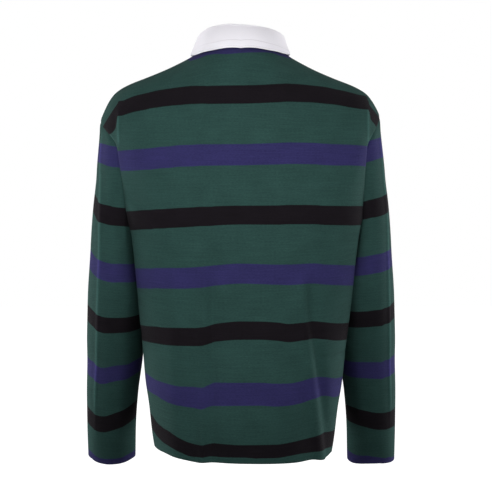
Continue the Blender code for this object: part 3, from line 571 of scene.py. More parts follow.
def catmull(points, closed):
    """A dense smooth line through the points."""
    points = np.array(points, float)
    before, after = points[-1:], points[:2]
    if not closed:
        before, after = 2 * points[:1] - points[1:2], 2 * points[-1:] - points[-2:-1]
    padded = np.vstack([before, points, after])
    t = np.linspace(0, 1, CURVE_SAMPLES, endpoint=False)[:, None]
    line = [
        b + 0.5 * t * (c - a + t * (2 * a - 5 * b + 4 * c - d + t * (3 * (b - c) + d - a)))
        for a, b, c, d in zip(padded, padded[1:], padded[2:], padded[3:])
    ]
    return np.vstack([*line, padded[-2:-1]])


def along(line, shares):
    """Points at these shares of a line's length."""
    steps = np.linalg.norm(np.diff(line, axis=0), axis=1)
    run = np.concatenate([[0], np.cumsum(steps)])
    at = np.clip(np.asarray(shares, float), 0, 1) * run[-1]
    return np.stack([np.interp(at, run, line[:, k]) for k in range(line.shape[1])], axis=-1)


def lengths(grid, axis):
    """Length run along the grid's rows (axis 1) or columns (axis 0), from its first point."""
    steps = np.linalg.norm(np.diff(grid, axis=axis), axis=2)
    first = np.zeros_like(np.take(steps, [0], axis=axis))
    return np.concatenate([first, np.cumsum(steps, axis=axis)], axis=axis)


def from_sides(grid):
    """Distance of each point from the nearer end of its row."""
    run = lengths(grid, 1)
    return np.minimum(run, run[:, -1:] - run)


def from_last(grid):
    """Distance of each point from the foot of its column."""
    return lengths(grid[::-1], 0)[::-1]


def shoulder_line(side):
    """The shoulder seam on one side, from the neck to the shoulder point."""
    flat = catmull([(x, 0.0, z) for x, z in SHOULDER], closed=False)
    share = np.linspace(0, SHOULDER_END[side], len(flat))
    used = along(flat, share)
    used[:, 2] -= SHOULDER_SAG[side] * np.sin(math.pi * share)
    return used * (side, 1, 1)


def armhole_line(side, face):
    """Half of the armhole seam, from the shoulder point to the armpit, by equal lengths."""
    back = np.array(ARMHOLE)
    front = back * (1, -FRONT_ARMHOLE_DEPTH, 1)
    loop = catmull(np.vstack([back, front[-2:0:-1]]), closed=True)
    half = (len(ARMHOLE) - 1) * CURVE_SAMPLES
    line = loop[: half + 1] if face > 0 else loop[half:][::-1]
    end = shoulder_line(side)[-1]
    lift = np.array([abs(end[0]) - line[0, 0], 0, end[2] - line[0, 2]])
    share = np.linspace(0, 1, len(line))[:, None]
    line = line + lift * (1 - smooth_step(share / POINT_FADE))
    lean = column(LEAN, 1, line[:, 2]) * smooth_step(np.abs(line[:, 1]) / LEAN_DEPTH)
    return np.stack([side * line[:, 0] + lean, line[:, 1], line[:, 2]], axis=1)


def saddle(y, side_height, back_rise, front_drop):
    """Height at this y of a line round the neck that rises behind and drops in front."""
    ahead = np.minimum(y, 0)
    slope = back_rise / NECK_BACK
    drop = (front_drop - slope * NECK_FRONT) / NECK_FRONT**2
    return side_height + slope * y - drop * ahead**2


def neck_point(angle, inset=0.0):
    """Neck seam at an angle from centre back, in radians; positive towards +X."""
    angle = np.asarray(angle, float)
    depth = np.where(np.cos(angle) >= 0, NECK_BACK, NECK_FRONT) - inset
    x = (NECK_HALF_WIDTH - inset) * np.sin(angle)
    y = depth * np.cos(angle)
    return np.stack([x, y, saddle(y, NECK_SIDE_HEIGHT, NECK_BACK_RISE, NECK_FRONT_DROP)], axis=-1)


def top_edge(face, side, share):
    """The panel's top edge: half the neckline, then the shoulder seam."""
    from_centre = np.clip(share / NECK_SHARE, 0, 1) * math.pi / 2
    angle = from_centre if face > 0 else math.pi - from_centre
    neck = neck_point(side * angle)
    seam = along(shoulder_line(side), (share - NECK_SHARE) / (1 - NECK_SHARE))
    return np.where((share <= NECK_SHARE)[:, None], neck, seam)


def fold_offset(face, x, z):
    """How far the largest folds move the cloth in or out here."""
    total = np.zeros(np.broadcast(x, z).shape)
    for centre, half_width, depth, top, bottom in FOLDS[face]:
        down = smooth_step(2 * (top - z) / (top - bottom))
        total = total + depth * bump(x - centre, half_width) * down
    return total


def pressed_x(x, y, height):
    """Distance from the centreline once the sleeve has pressed the body's side in."""
    centre_x, centre_y, reach_x, reach_y = (column(SLEEVE, k, height) for k in range(1, 5))
    reach_x, reach_y = reach_x + ARM_CLEARANCE, reach_y + ARM_CLEARANCE
    share = ((y - centre_y) / reach_y) ** 2
    inner = centre_x - reach_x * np.sqrt(np.maximum(1 - share, 0))
    limit = inner + reach_x * PRESS_FLARE * np.sqrt(np.maximum(share - 1, 0))
    soft = -PRESS_SOFTNESS * np.logaddexp(-x / PRESS_SOFTNESS, -limit / PRESS_SOFTNESS)
    return x + smooth_step((PRESS_TOP - height) / PRESS_FADE) * (soft - x)


def ring_points(face, side, height, edge_x, edge_y, share):
    """Plan of points on level half rings, each from the centreline to its own edge point."""
    height, edge_x, edge_y, share = np.broadcast_arrays(height, edge_x, edge_y, share)
    depth = column(RINGS, 2 if face > 0 else 3, height)[..., None]
    power = 2 / column(RINGS, 4, height)[..., None]
    widest = column(RINGS, 1, height) + side * column(LEAN, 1, height)
    reach = side * edge_x[..., None]
    edge_turn = np.arccos(np.clip(face * edge_y[..., None] / depth, 0, 1) ** (1 / power))
    along_ring = np.linspace(0, 1, RING_SAMPLES)
    turn = edge_turn * along_ring
    y = depth * np.maximum(np.cos(turn), 0) ** power
    wave = np.sin(turn) ** power

    def outline(width):
        x = pressed_x(width[..., None] * wave, face * y, height[..., None])
        return x + (reach - x[..., -1:]) * along_ring**EDGE_POWER

    low = (reach / wave[..., -1:])[..., 0]
    high = low * WIDEST_GUESS
    for _ in range(WIDTH_TRIES):
        middle = (low + high) / 2
        wide = outline(middle).max(axis=-1) >= widest
        low, high = np.where(wide, low, middle), np.where(wide, middle, high)
    x = outline(low)
    run = np.cumsum(np.hypot(np.diff(x), np.diff(y)), axis=-1)
    run = np.concatenate([np.zeros_like(run[..., :1]), run], axis=-1)
    at = share[..., None] * run[..., -1:]
    i = np.clip((run <= at).sum(axis=-1, keepdims=True) - 1, 0, RING_SAMPLES - 2)
    start, end = np.take_along_axis(run, i, -1), np.take_along_axis(run, i + 1, -1)
    t = (at - start) / (end - start)
    picked = []
    for values in (side * x, face * y):
        first, second = np.take_along_axis(values, i, -1), np.take_along_axis(values, i + 1, -1)
        picked.append((first + t * (second - first))[..., 0])
    return picked


def ring_row(face, side, middle_height, edge, share, run=0.0):
    """A row of points on the body, from its middle height to its edge point on a seam."""
    height = middle_height + (edge[2] - middle_height) * share**EDGE_POWER
    x, y = ring_points(face, side, height, edge[0], edge[1], share)
    drop = HEM_CENTRE_DROP * (1 - share**2) - HEM_TILT * x
    y = y + face * fold_offset(face, x, height) * (1 - share**EDGE_POWER)
    return np.stack([x, y, height - drop * run], axis=1)


def body_row(face, side, step, share):
    """One row of a panel half. step runs 0 to 1 down the dome, to 2 at the armpit, 3 at the hem."""
    split = DOME_STEPS / (DOME_STEPS + ARMHOLE_STEPS)
    seam = armhole_line(side, face)
    low_edge = along(seam, split)
    low_height = low_edge[2] - ROW_DIP
    if step > 2:
        run = step - 2
        height = seam[-1, 2] + (HEM_SIDE_HEIGHT - seam[-1, 2]) * run
        free = column(RINGS, 1, height) + side * column(LEAN, 1, height)
        pressed = pressed_x(free, 0.0, height)
        edge_x = seam[-1, 0] + (side * pressed - seam[-1, 0]) * smooth_step(run / SIDE_SEAM_FADE)
        middle = ARMPIT_ROW_HEIGHT + (HEM_SIDE_HEIGHT - ARMPIT_ROW_HEIGHT) * run
        return ring_row(face, side, middle, (edge_x, 0.0, height), share, run)
    if step >= 1:
        edge = along(seam, split + (1 - split) * (step - 1))
        middle = low_height + (ARMPIT_ROW_HEIGHT - low_height) * (step - 1)
        return ring_row(face, side, middle, edge, share)
    top = top_edge(face, side, share)
    low = ring_row(face, side, low_height, low_edge, share)
    rise, run = 1 - math.cos(step * math.pi / 2), math.sin(step * math.pi / 2)
    blend = np.array([rise, run, rise])
    row = top + (low - top) * blend
    last = top_edge(face, side, np.array([1.0]))[0]
    own = last + (low_edge - last) * blend
    return row + (along(seam, split * step) - own) * (share**DOME_EDGE_POWER)[:, None]


def sleeve_ring(side, height, turn):
    """Tube points at these heights and turns; a turn of 0 is outermost and 90 degrees is back."""
    middle_x, middle_y, half_width, half_depth, tilt = (
        column(SLEEVE, k, height) for k in range(1, 6)
    )
    tilt = np.radians(tilt)
    x = middle_x + half_width * np.cos(turn)
    y = middle_y + half_depth * np.sin(turn) * np.cos(tilt)
    z = height - half_depth * np.sin(turn) * np.sin(tilt)
    return np.stack([side * x, y, z], axis=-1)


def grid_normals(grid, wraps=False, middle=None):
    """Unit normals of a grid, turned out of the body, or away from the middle along an axis."""
    outward = grid * (1, 1, 0) if middle is None else grid - grid.mean(axis=middle, keepdims=True)
    if wraps:
        across = np.roll(grid, -1, axis=1) - np.roll(grid, 1, axis=1)
    else:
        across = np.gradient(grid, axis=1)
    normal = np.cross(across, np.gradient(grid, axis=0))
    normal /= np.linalg.norm(normal, axis=2, keepdims=True)
    return normal * np.sign((normal * outward).sum())


def tube_normals(grid):
    """The same for a sleeve."""
    return grid_normals(grid, wraps=True, middle=1)


def unit(vector):
    return vector / np.linalg.norm(vector)


def into_cloth(grid, row, column_index, wraps):
    """Direction from a grid point to the middle of the cells round it."""
    rows, columns = grid.shape[:2]
    middles = []
    for r in (row - 1, row):
        for c in (column_index - 1, column_index):
            if 0 <= r < rows - 1 and (wraps or 0 <= c < columns - 1):
                f = (c + 1) % columns
                middles.append((grid[r, c] + grid[r, f] + grid[r + 1, c] + grid[r + 1, f]) / 4)
    return np.mean(middles, axis=0) - grid[row, column_index]


def sew(grids, normals, shifts, seam, closed=False):
    """Parts the two sides of a seam by the seam gap.

    seam holds, for each point along it, the (piece, row, column) of each member on either side.
    Where the cloth lies nearly flat, both sides share one wall direction. At a sharp valley each
    side keeps its own and moves away, so that its wall stays on its own side.
    """
    places = [grids[first[0][0]][first[0][1], first[0][2]] for first, _ in seam]
    count = len(seam)
    found = []
    for i, members_of in enumerate(seam):
        before, after = (i - 1) % count, (i + 1) % count
        if not closed:
            before, after = max(i - 1, 0), min(i + 1, count - 1)
        run = unit(places[after] - places[before])
        sides = []
        for members in members_of:
            inward = sum(into_cloth(grids[name], r, c, name in SLEEVES) for name, r, c in members)
            sides.append(unit(inward - run * np.dot(inward, run)))
        parting = unit(sides[1] - sides[0])
        lean = np.linalg.norm(sides[0] + sides[1]) / 2
        sharpness = smooth_step((lean - SHARP_FROM) / SHARP_RANGE)
        shared = np.cross(run, parting)
        own = (np.cross(run, -sides[0]), np.cross(run, sides[1]))
        walls = [unit(shared + (wall_way - shared) * sharpness) for wall_way in own]
        found.append((parting, shared, walls))
    outward = 0.0
    for (first, _), (_, shared, _) in zip(seam, found):
        outward += sum(np.dot(normals[name][r, c], shared) for name, r, c in first)
    for members_of, (parting, _, walls) in zip(seam, found):
        for members, way, direction in zip(members_of, (-1, 1), walls):
            apart = SEWN_GAP / 2 + abs(np.dot(direction, parting)) * KNIT_WALL / 2
            for name, r, c in members:
                normals[name][r, c] = direction * math.copysign(1, outward)
                shifts[name][r, c] += parting * way * apart


def lying_on(tree, x, y, lift):
    """The point above the panels at this x and y, lifted along their averaged normal."""
    start = Vector((x, y, RAY_START))
    total, heights = Vector((0, 0, 0)), []
    spots = [Vector((0, 0, 0))]
    for angle in np.linspace(0, 2 * math.pi, NORMAL_RAYS, endpoint=False):
        spots.append(Vector((math.cos(angle), math.sin(angle), 0)) * NORMAL_REACH)
    for spot in spots:
        place, normal, _, _ = tree.ray_cast(start + spot, Vector((0, 0, -1)))
        if place is not None:
            total += normal if normal.z > 0 else -normal
            heights.append(place.z)
    height = max(heights[0], sum(heights) / len(heights))
    return np.array([x, y, height]) + np.array(total.normalized()) * lift


def fine_shares():
    """Shares of a half panel's width at its fine columns; the first few lie under the placket."""
    beside = math.asin(PLACKET_HALF_WIDTH / NECK_HALF_WIDTH) / (math.pi / 2)
    strip = np.linspace(0, beside, PLACKET_COLUMNS + 1)
    neck = np.linspace(beside, 1, NECK_COLUMNS + 1)[1:]
    left = np.linspace(1, 0, SHOULDER_COLUMNS + 1)[1:] ** EDGE_CROWDING
    return np.concatenate([strip * NECK_SHARE, neck * NECK_SHARE, 1 - (1 - NECK_SHARE) * left])


def fine_steps():
    """Where the panels' fine rows lie, in body_row's steps, with a few more close to the hem."""
    side = np.linspace(2, 3, SIDE_ROWS + 1)[1:-1]
    last = 3 - np.array(RIM_SHARES) * RIM_RADIUS / abs(HEM_SIDE_HEIGHT - ARMHOLE[-1][2])
    dome = np.linspace(0, 1, DOME_ROWS + 1)
    hole = np.linspace(1, 2, ARMHOLE_ROWS + 1)[1:]
    return np.concatenate([dome, hole, side, last])


def panel_rows(face):
    """The back's (face 1) or front's (face -1) points, row by row, from -X to +X."""
    share = fine_shares()
    rows = []
    for step in fine_steps():
        right = body_row(face, -1, step, share)[::-1]
        left = body_row(face, 1, step, share)
        rows.append(np.vstack([right[:-1], (left[0] + right[-1]) / 2 * (0, 1, 1), left[1:]]))
    grid = np.array(rows)
    if face < 0:
        centre = len(share) - 1
        for k in range(1, PLACKET_COLUMNS + 1):
            grid[:, centre - k, 0] = -PLACKET_HALF_WIDTH * k / PLACKET_COLUMNS
            grid[:, centre + k, 0] = PLACKET_HALF_WIDTH * k / PLACKET_COLUMNS
    return grid


def sleeve_rows(side):
    """A sleeve's points: rows from the armhole to the cuff, columns from the top round the back.

    Also gives each point's height along the sleeve and its turn.
    """
    shares = np.linspace(0, 1, SEAM_ROWS + 1)
    back, front = (along(armhole_line(side, face), shares) for face in (1, -1))
    seam = np.vstack([back, front[-2:0:-1]])
    turn = np.linspace(0, 2 * math.pi, 2 * SEAM_ROWS, endpoint=False)
    start = seam[:, 2]
    lead = seam - sleeve_ring(side, start, turn)
    last = 1 - np.array(RIM_SHARES) * RIM_RADIUS / abs(CUFF_HEIGHT - start.mean())
    rows, heights = [], []
    for q in np.concatenate([np.linspace(0, 1, SLEEVE_ROWS + 1)[:-1], last]):
        height = start + (CUFF_HEIGHT - start) * q
        fade = 1 - smooth_step((start - height) / SEAM_FADE)
        rows.append(sleeve_ring(side, height, turn) + lead * fade[:, None])
        heights.append(height)
    return np.array(rows), np.array(heights), np.broadcast_to(turn, np.array(heights).shape)


def relax(grid, amount, passes):
    """Smooths a grid down its columns, by an amount at each point, except at its ends."""
    for _ in range(passes):
        middle = (grid[:-2] + grid[2:]) / 2
        grid[1:-1] += (middle - grid[1:-1]) * amount[1:-1, :, None] * 0.5


def smooth_panel(face):
    """A panel's points, evened out along its rows, and on the front down its columns too."""
    grid = panel_rows(face)
    amount = smooth_step((lengths(grid, 0) - SMOOTH_FROM) / SMOOTH_EASE)
    amount = amount * smooth_step(from_sides(grid) / SMOOTH_EASE)
    relax(grid.swapaxes(0, 1), amount.T, SMOOTHING)
    if face < 0:
        amount = smooth_step(from_sides(grid) / SMOOTH_EASE)
        relax(grid, amount * between(grid[..., 2], *SETTLE_SPAN), SETTLING)
    return grid


def body_folds(face, grid):
    """How far the listed folds of one panel move its cloth out."""
    x, z = grid[..., 0], grid[..., 2]
    total = np.zeros_like(x)
    for row in (*BODY_FOLDS[face], *CORNER_FOLDS):
        top_x, low_x, width, depth, top, bottom, top_fade, low_fade = row
        centre = sliding(top_x, low_x, top, bottom, z)
        total += depth * bump(x - centre, width) * between(z, bottom, top, low_fade, top_fade)
    return total


def sliding(start, end, top, bottom, height):
    """A value that goes evenly from start at the top height to end at the bottom one."""
    return start + (end - start) * np.clip((top - height) / (top - bottom), 0, 1)


def level_folds(grid):
    """The shallow folds that cross the back, each sagging to one side."""
    x, z = grid[..., 0], grid[..., 2]
    total = np.zeros_like(x)
    for left_z, right_z, sag, width, depth, low_x, high_x in LEVEL_FOLDS:
        run = np.clip((x - low_x) / (high_x - low_x), 0, 1)
        centre = right_z + (left_z - right_z) * run - sag * 4 * run * (1 - run)
        ends = smooth_step(run / LEVEL_FOLD_EASE) * smooth_step((1 - run) / LEVEL_FOLD_EASE)
        total += depth * bump(z - centre, width) * ends
    return total


def sleeve_folds(side, heights, turns):
    """How far the fold and the crease of one sleeve move its cloth out."""
    top_turn, low_turn, width, depth, top, bottom, fade = SLEEVE_FOLD[side]
    centre = sliding(top_turn, low_turn, top, bottom, heights)
    away = (np.degrees(turns) - centre + 180) % 360 - 180
    folded = depth * bump(away, width) * between(heights, bottom, top, fade, fade)
    creased = bump(from_crease(side, heights, turns), CREASE_WIDTH)
    return folded + CREASE_DEPTH * creased * between(heights, *CREASE_SPAN)


def seam_puff(distance):
    """Cloth raised beside a seam and drawn down into it."""
    ratio = distance / PUFF_AT
    return PUFF_HEIGHT * ratio * np.exp(1 - ratio)


def from_outer_edge(turns):
    """Degrees from the outer edge of a sleeve, on either face."""
    return np.abs((np.degrees(turns) + 180) % 360 - 180)


def from_crease(side, heights, turns):
    """Degrees from the crease of a sleeve, on either face."""
    return from_outer_edge(turns) - column(SLEEVE_CREASE[side], 1, heights)


def course_at(table, place, z, share):
    """The height of each point's own course, which may lie below the point."""
    levels = [value / MM_PER_METRE for value in table[0][1:]]
    places = []
    for k, level in enumerate(levels, 1):
        hangs = column([(row[0], row[k] / MM_PER_METRE) for row in table[1:]], 1, place)
        places.append(level - hangs * share)
    course = levels[0] + np.maximum(z - places[0], 0) - np.maximum(places[-1] - z, 0)
    for k in range(len(levels) - 1):
        step = np.clip((places[k] - z) / (places[k] - places[k + 1]), 0, 1)
        course = course - step * (levels[k] - levels[k + 1])
    return course


def body_course(grid):
    """The height at which each point's course of knitting passes the centre back.

    The courses turn down where the cloth folds over just before each armhole.
    """
    x, z = grid[..., 0], grid[..., 2]
    level = course_at(BACK_DROOP, x * MM_PER_METRE, z, 1.0)
    for side, (fold_x, scale, lift, slope, low) in CORNER_FOLD.items():
        beyond = side * x - fold_x
        turned = scale * z + lift + slope * beyond
        amount = smooth_step(beyond / CORNER_WIDTH + 0.5) * smooth_step((z - low) / CORNER_FADE)
        level = level + (turned - level) * amount
    return level


def wall_shares(free):
    """The share of the wall's thickness at each row, rounded where the rows end in free air."""
    rounded = 1 - (1 - np.clip(free / RIM_RADIUS, 0, 1)) ** 2
    return np.sqrt(np.maximum(rounded, WALL_LEAST))


def placed(name, data):
    """A new object in the scene."""
    made = bpy.data.objects.new(name, data)
    bpy.context.scene.collection.objects.link(made)
    return made


def riding(made):
    """Puts a piece on the one body."""
    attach(made, "root")
    return made


def cloth(name, grid, normals, finish, free, values, *, thickness=KNIT_WALL, kept=None,
          wraps=False, down=None):
    """A closed wall of cloth along a grid, with its knitting coordinates and point values.

    free is each point's distance from an edge in free air, down is the length down the cloth where
    it isn't counted from the first row, and values are named point values.
    """
    rows, columns = grid.shape[:2]
    order = (np.arange(columns + wraps) + columns // 2 * wraps) % columns
    run = lengths(grid[:, order], 1)
    across = run if wraps else run - run[:, columns // 2][:, None]
    down = -lengths(grid, 0) if down is None else down
    kept = np.ones((rows - 1, len(order) - 1), bool) if kept is None else kept
    shift = normals * (wall_shares(free) * thickness / 2)[..., None]
    points = np.concatenate([(grid + shift).reshape(-1, 3), (grid - shift).reshape(-1, 3)])
    inner = rows * columns
    row, cell = np.nonzero(kept)
    corners = [(row + r, order[cell + c], cell + c) for r, c in ((0, 0), (1, 0), (1, 1), (0, 1))]
    quads = np.stack([r * columns + c for r, c, _ in corners], axis=1)
    spots = np.stack([np.stack([across[r, e], down[r, c]], axis=1) for r, c, e in corners], axis=1)
    ends, end_spots = (np.stack([a, np.roll(a, -1, axis=1)], axis=2) for a in (quads, spots))
    ends = ends.reshape(-1, 2)
    rim = ~np.isin(ends @ (inner, 1), ends @ (1, inner))
    a, b = ends[rim].T
    back = [0, 3, 2, 1]
    faces = [quads, inner + quads[:, back], np.stack([b, a, inner + a, inner + b], axis=1)]
    faces = np.concatenate(faces)
    knit = [spots, spots[:, back], end_spots.reshape(-1, 2, 2)[rim][:, [1, 0, 0, 1]]]
    used, places = np.unique(faces, return_inverse=True)
    mesh = bpy.data.meshes.new(name)
    mesh.from_pydata(points[used].tolist(), [], places.reshape(faces.shape).tolist())
    uv = mesh.uv_layers.new(name="knit")
    uv.data.foreach_set("uv", np.concatenate(knit).astype(np.float32).ravel())
    for key, value in {**values, "free": free}.items():
        both = np.concatenate([np.broadcast_to(value, (rows, columns)).ravel()] * 2)[used]
        spread = mesh.attributes.new(key, "FLOAT", "POINT")
        spread.data.foreach_set("value", both.astype(np.float32))
    a, b, c, d = (points[faces[:, k]] for k in range(4))
    if (a * (np.cross(b, c) + np.cross(c, d))).sum() < 0:  # the volume inside, times six
        mesh.flip_normals()
    mesh.shade_smooth()
    mesh.set_sharp_from_angle(angle=math.radians(BODY_CREASE))
    mesh.materials.append(finish)
    return riding(placed(name + "_cloth", mesh))


def sew_shirt(grids, normals):
    """Sews the shoulders and sides, then the armholes, which set the walls where they meet."""
    shifts = {name: np.zeros_like(grid) for name, grid in grids.items()}
    rows, columns = grids["back"].shape[:2]
    neck = PLACKET_COLUMNS + NECK_COLUMNS
    for sleeve, way in SLEEVES.items():
        edge = columns - 1 if way > 0 else 0
        shoulder = range(columns // 2 + way * neck, edge + way, way)
        seam = [([("back", 0, c)], [("front", 0, c)]) for c in shoulder]
        sew(grids, normals, shifts, seam)
        seam = [([("back", r, edge)], [("front", r, edge)]) for r in range(SEAM_ROWS, rows)]
        sew(grids, normals, shifts, seam)
        seam = []
        for k in range(2 * SEAM_ROWS):
            panels = [("back", k, edge)] if k <= SEAM_ROWS else []
            if k == 0 or k >= SEAM_ROWS:
                panels.append(("front", (2 * SEAM_ROWS - k) % (2 * SEAM_ROWS), edge))
            seam.append((panels, [(sleeve, 0, k)]))
        sew(grids, normals, shifts, seam, closed=True)
    for name, grid in grids.items():
        grid += shifts[name]


def folded_panel(face, grid):
    """A panel's points with its folds and its raised seams."""
    normals = grid_normals(grid)
    normals[..., 2] *= 1 - smooth_step((HEM_SET_FROM - grid[..., 2]) / HEM_SET_OVER)
    from_edge, from_top = from_sides(grid), lengths(grid, 0)
    beyond_neck = smooth_step((np.abs(grid[:1, :, 0]) - NECK_HALF_WIDTH) / NECK_EASE)
    share = np.where(np.arange(len(grid)) <= SEAM_ROWS, 1.0, SIDE_PUFF)[:, None]
    inside = smooth_step(from_edge / SEAM_EASE) * smooth_step(from_top / SEAM_EASE)
    folds = body_folds(face, grid)
    if face > 0:
        folds += level_folds(grid)
    out = folds * inside
    out += seam_puff(from_edge) * share * smooth_step(from_top / PUFF_EASE)
    out += seam_puff(from_top) * SIDE_PUFF * beyond_neck * smooth_step(from_edge / PUFF_EASE)
    return grid + normals * out[..., None]


def build_body(finish):
    """The back, the front and both sleeves, sewn together with their folds."""
    grids, tubes = {}, {}
    for name, face in PANELS.items():
        grid = smooth_panel(face)
        low = smooth_step((HEM_SET_FROM - grid[..., 2]) / HEM_SET_OVER)
        grid[..., 2] += column(HEM_SET, 1, grid[..., 0]) * low
        grids[name] = folded_panel(face, grid)
    for name, side in SLEEVES.items():
        grid, heights, turns = sleeve_rows(side)
        low = smooth_step((CUFF_SET_FROM - heights) / CUFF_SET_OVER)
        grid[..., 2] += column(CUFF_SET[side], 1, from_outer_edge(turns)) * low
        from_seam = lengths(grid, 0)
        out = sleeve_folds(side, heights, turns) * smooth_step(from_seam / SEAM_EASE)
        out += seam_puff(from_seam)
        grids[name] = grid + tube_normals(grid) * out[..., None]
        tubes[name] = (side, heights, turns)
    normals = {name: grid_normals(grids[name]) for name in PANELS}
    normals.update({name: tube_normals(grids[name]) for name in SLEEVES})
    sew_shirt(grids, normals)
    made = {}
    for name, face in PANELS.items():
        made[name] = build_panel(name, face, grids[name], normals[name], finish["body"])
    for name, tube in tubes.items():
        made[name] = build_sleeve(name, *tube, grids[name], normals[name], finish["sleeve"])
    return made, grids, normals


def build_panel(name, face, grid, normals, finish):
    rows, columns = grid.shape[:2]
    kept = np.ones((rows - 1, columns - 1), bool)
    values = {"course": body_course(grid), **seam_highlight(grid), **corner_highlight(grid)}
    if face < 0:
        centre = columns // 2
        kept[:SLIT_ROWS, centre - PLACKET_COLUMNS : centre + PLACKET_COLUMNS] = False
    else:
        values["neck"] = grid[..., 2] - column(NECK_BAND, 1, grid[..., 0])
    down = lengths(grid, 0)
    return cloth(
        name, grid, normals, finish, from_last(grid), values, kept=kept,
        down=down[DOME_ROWS] - down,
    )


def seam_highlight(grid):
    """Distances from the armhole and side seams, and how strong the painted highlight beside them
    is.
    """
    z = grid[..., 2]
    armpit = grid[SEAM_ROWS, 0, 2]
    upper = between(z, armpit, SEAM_HIGHLIGHT_TOP, SEAM_HIGHLIGHT_FADE, SEAM_HIGHLIGHT_TOP_FADE)
    lower = between(z, SEAM_HIGHLIGHT_BOTTOM, armpit, SEAM_HIGHLIGHT_FADE, SEAM_HIGHLIGHT_FADE) * SEAM_HIGHLIGHT_SIDE
    return {"seam_run": from_sides(grid), "seam_painted_highlight": np.maximum(upper, lower)}


def corner_highlight(grid):
    """The same for the painted highlight along the fold before each armhole."""
    x, z = grid[..., 0], grid[..., 2]
    run, painted_highlight = np.ones_like(x), np.zeros_like(x)
    for top_x, low_x, _, _, top, bottom, _, low_fade in CORNER_FOLDS:
        away = x - sliding(top_x, low_x, top, bottom, z)
        near = np.abs(away) < np.abs(run)
        run = np.where(near, away, run)
        painted_highlight = np.where(near, between(z, bottom, top, low_fade, CORNER_HIGHLIGHT_FADE), painted_highlight)
    return {"crease_run": run, "crease_painted_highlight": painted_highlight}


def build_sleeve(name, side, heights, turns, grid, normals, finish):
    """A sleeve, its courses kinked up where the cloth folds round its outer edge."""
    values = {
        "course": course_at(SLEEVE_RISE[side], from_outer_edge(turns), heights, -1.0),
        "crease_run": from_crease(side, heights, turns) * CREASE_DEGREE,
        "crease_painted_highlight": between(heights, *CREASE_SPAN),
    }
    return cloth(
        name, grid, normals, finish, from_last(grid), values, wraps=True,
        down=heights[:1] - lengths(grid, 0),
    )


def panel_tree(grids):
    """Both panels' upper parts as a search tree, for what lies on them."""
    points, faces = [], []
    for panel in PANELS:
        grid = grids[panel][:TREE_ROWS]
        rows, columns = grid.shape[:2]
        for r in range(rows - 1):
            for a in range(len(points) + r * columns, len(points) + (r + 1) * columns - 1):
                faces.append((a, a + 1, a + columns + 1, a + columns))
        points.extend(map(Vector, grid.reshape(-1, 3).tolist()))
    return BVHTree.FromPolygons(points, faces)


def collar_section(tree, angle):
    """Points up the stand, over the fold and down the fall, at one angle round the neck."""
    degrees = abs(math.degrees(angle))
    drawn, pushed, bulge, rise = (column(COLLAR_SET, k, math.degrees(angle)) for k in range(1, 5))
    foot = neck_point(angle, STAND_INSET) - (0, 0, STAND_FOOT)
    crease = neck_point(angle, STAND_INSET + STAND_LEAN)
    out, up = unit(np.array([math.sin(angle), math.cos(angle), 0.0])), np.array([0.0, 0.0, 1.0])
    fold_height = saddle(crease[1], FOLD_SIDE_HEIGHT, FOLD_BACK_RISE, FOLD_FRONT_DROP)
    crease += out * FOLD_RADIUS
    crease[2] = fold_height - FOLD_RADIUS + rise
    inner, outer = crease - out * FOLD_RADIUS, crease + out * FOLD_RADIUS
    section = [foot + (inner - foot) * t for t in np.linspace(0, 1, STAND_STEPS + 1)[:-1]]
    for turn in np.linspace(0, math.pi, FOLD_STEPS + 1):
        section.append(crease + FOLD_RADIUS * (up * math.sin(turn) - out * math.cos(turn)))
    edge_x, edge_y = column(LEAF_EDGE, 1, degrees), column(LEAF_EDGE, 2, degrees)
    edge_x = math.copysign(edge_x - drawn, angle)
    edge = lying_on(tree, edge_x, edge_y + pushed, LEAF_CLEARANCE)
    guide = (outer + edge) / 2 + (out + up) * LEAF_BULGE * bulge
    for t in FALL_SHARES:
        section.append((1 - t) ** 2 * outer + 2 * t * (1 - t) * guide + t * t * edge)
    return np.array(section)


def build_collar(grids, finish):
    """The collar, with a line that the seam inside raises, and its sunk stitching."""
    tree = panel_tree(grids)
    end = math.radians(COLLAR_FRONT_ANGLE)
    angles = np.linspace(-end, end, COLLAR_COLUMNS)
    grid = np.array([collar_section(tree, angle) for angle in angles]).transpose(1, 0, 2)
    from_edge = from_last(grid)
    line, strength = (column(COLLAR_STEP, k, np.degrees(angles)[None]) for k in (1, 2))
    step = COLLAR_STEP_RISE * strength
    swell = step * COLLAR_SWELL * bump(from_edge - line + COLLAR_SWELL_AT, COLLAR_SWELL_WIDTH)
    step = step * smooth_step((line - from_edge) / COLLAR_STEP_WIDTH + 0.5) + swell
    groove = -COLLAR_STITCH_DEPTH * bump(from_edge - COLLAR_STITCH_AT, COLLAR_STITCH_WIDTH)
    fallen = smooth_step((from_edge.max(axis=0) * COLLAR_FALL - from_edge) / COLLAR_FALL_EASE)
    grid = grid + grid_normals(grid, middle=0) * ((step + groove) * fallen)[..., None]
    return cloth(
        "collar", grid, grid_normals(grid, middle=0), finish,
        np.minimum(from_edge, from_sides(grid)), {"step": line - from_edge, "strength": strength},
        thickness=WOVEN_WALL,
    )


def strip_rows(front, normals, half_width, lift):
    """A strip down the centre front, made from the front's own points, to be crowned by
    build_strip.
    """
    centre = front.shape[1] // 2
    shares = np.linspace(-1, 1, STRIP_COLUMNS)
    shares = np.sign(shares) * (1 - (1 - np.abs(shares)) ** STRIP_CROWDING)
    rows = []
    for points, normal in zip(front[: SLIT_ROWS + 1], normals[:, centre]):
        middle, beside = points[centre], points[centre + PLACKET_COLUMNS]
        edge = middle + (beside - middle) * half_width / PLACKET_HALF_WIDTH
        row = middle + (edge - middle) * (0, 1, 1) * (shares**2)[:, None]
        row[:, 0] = edge[0] * shares
        rows.append(row + normal * lift)
    return np.array(rows)


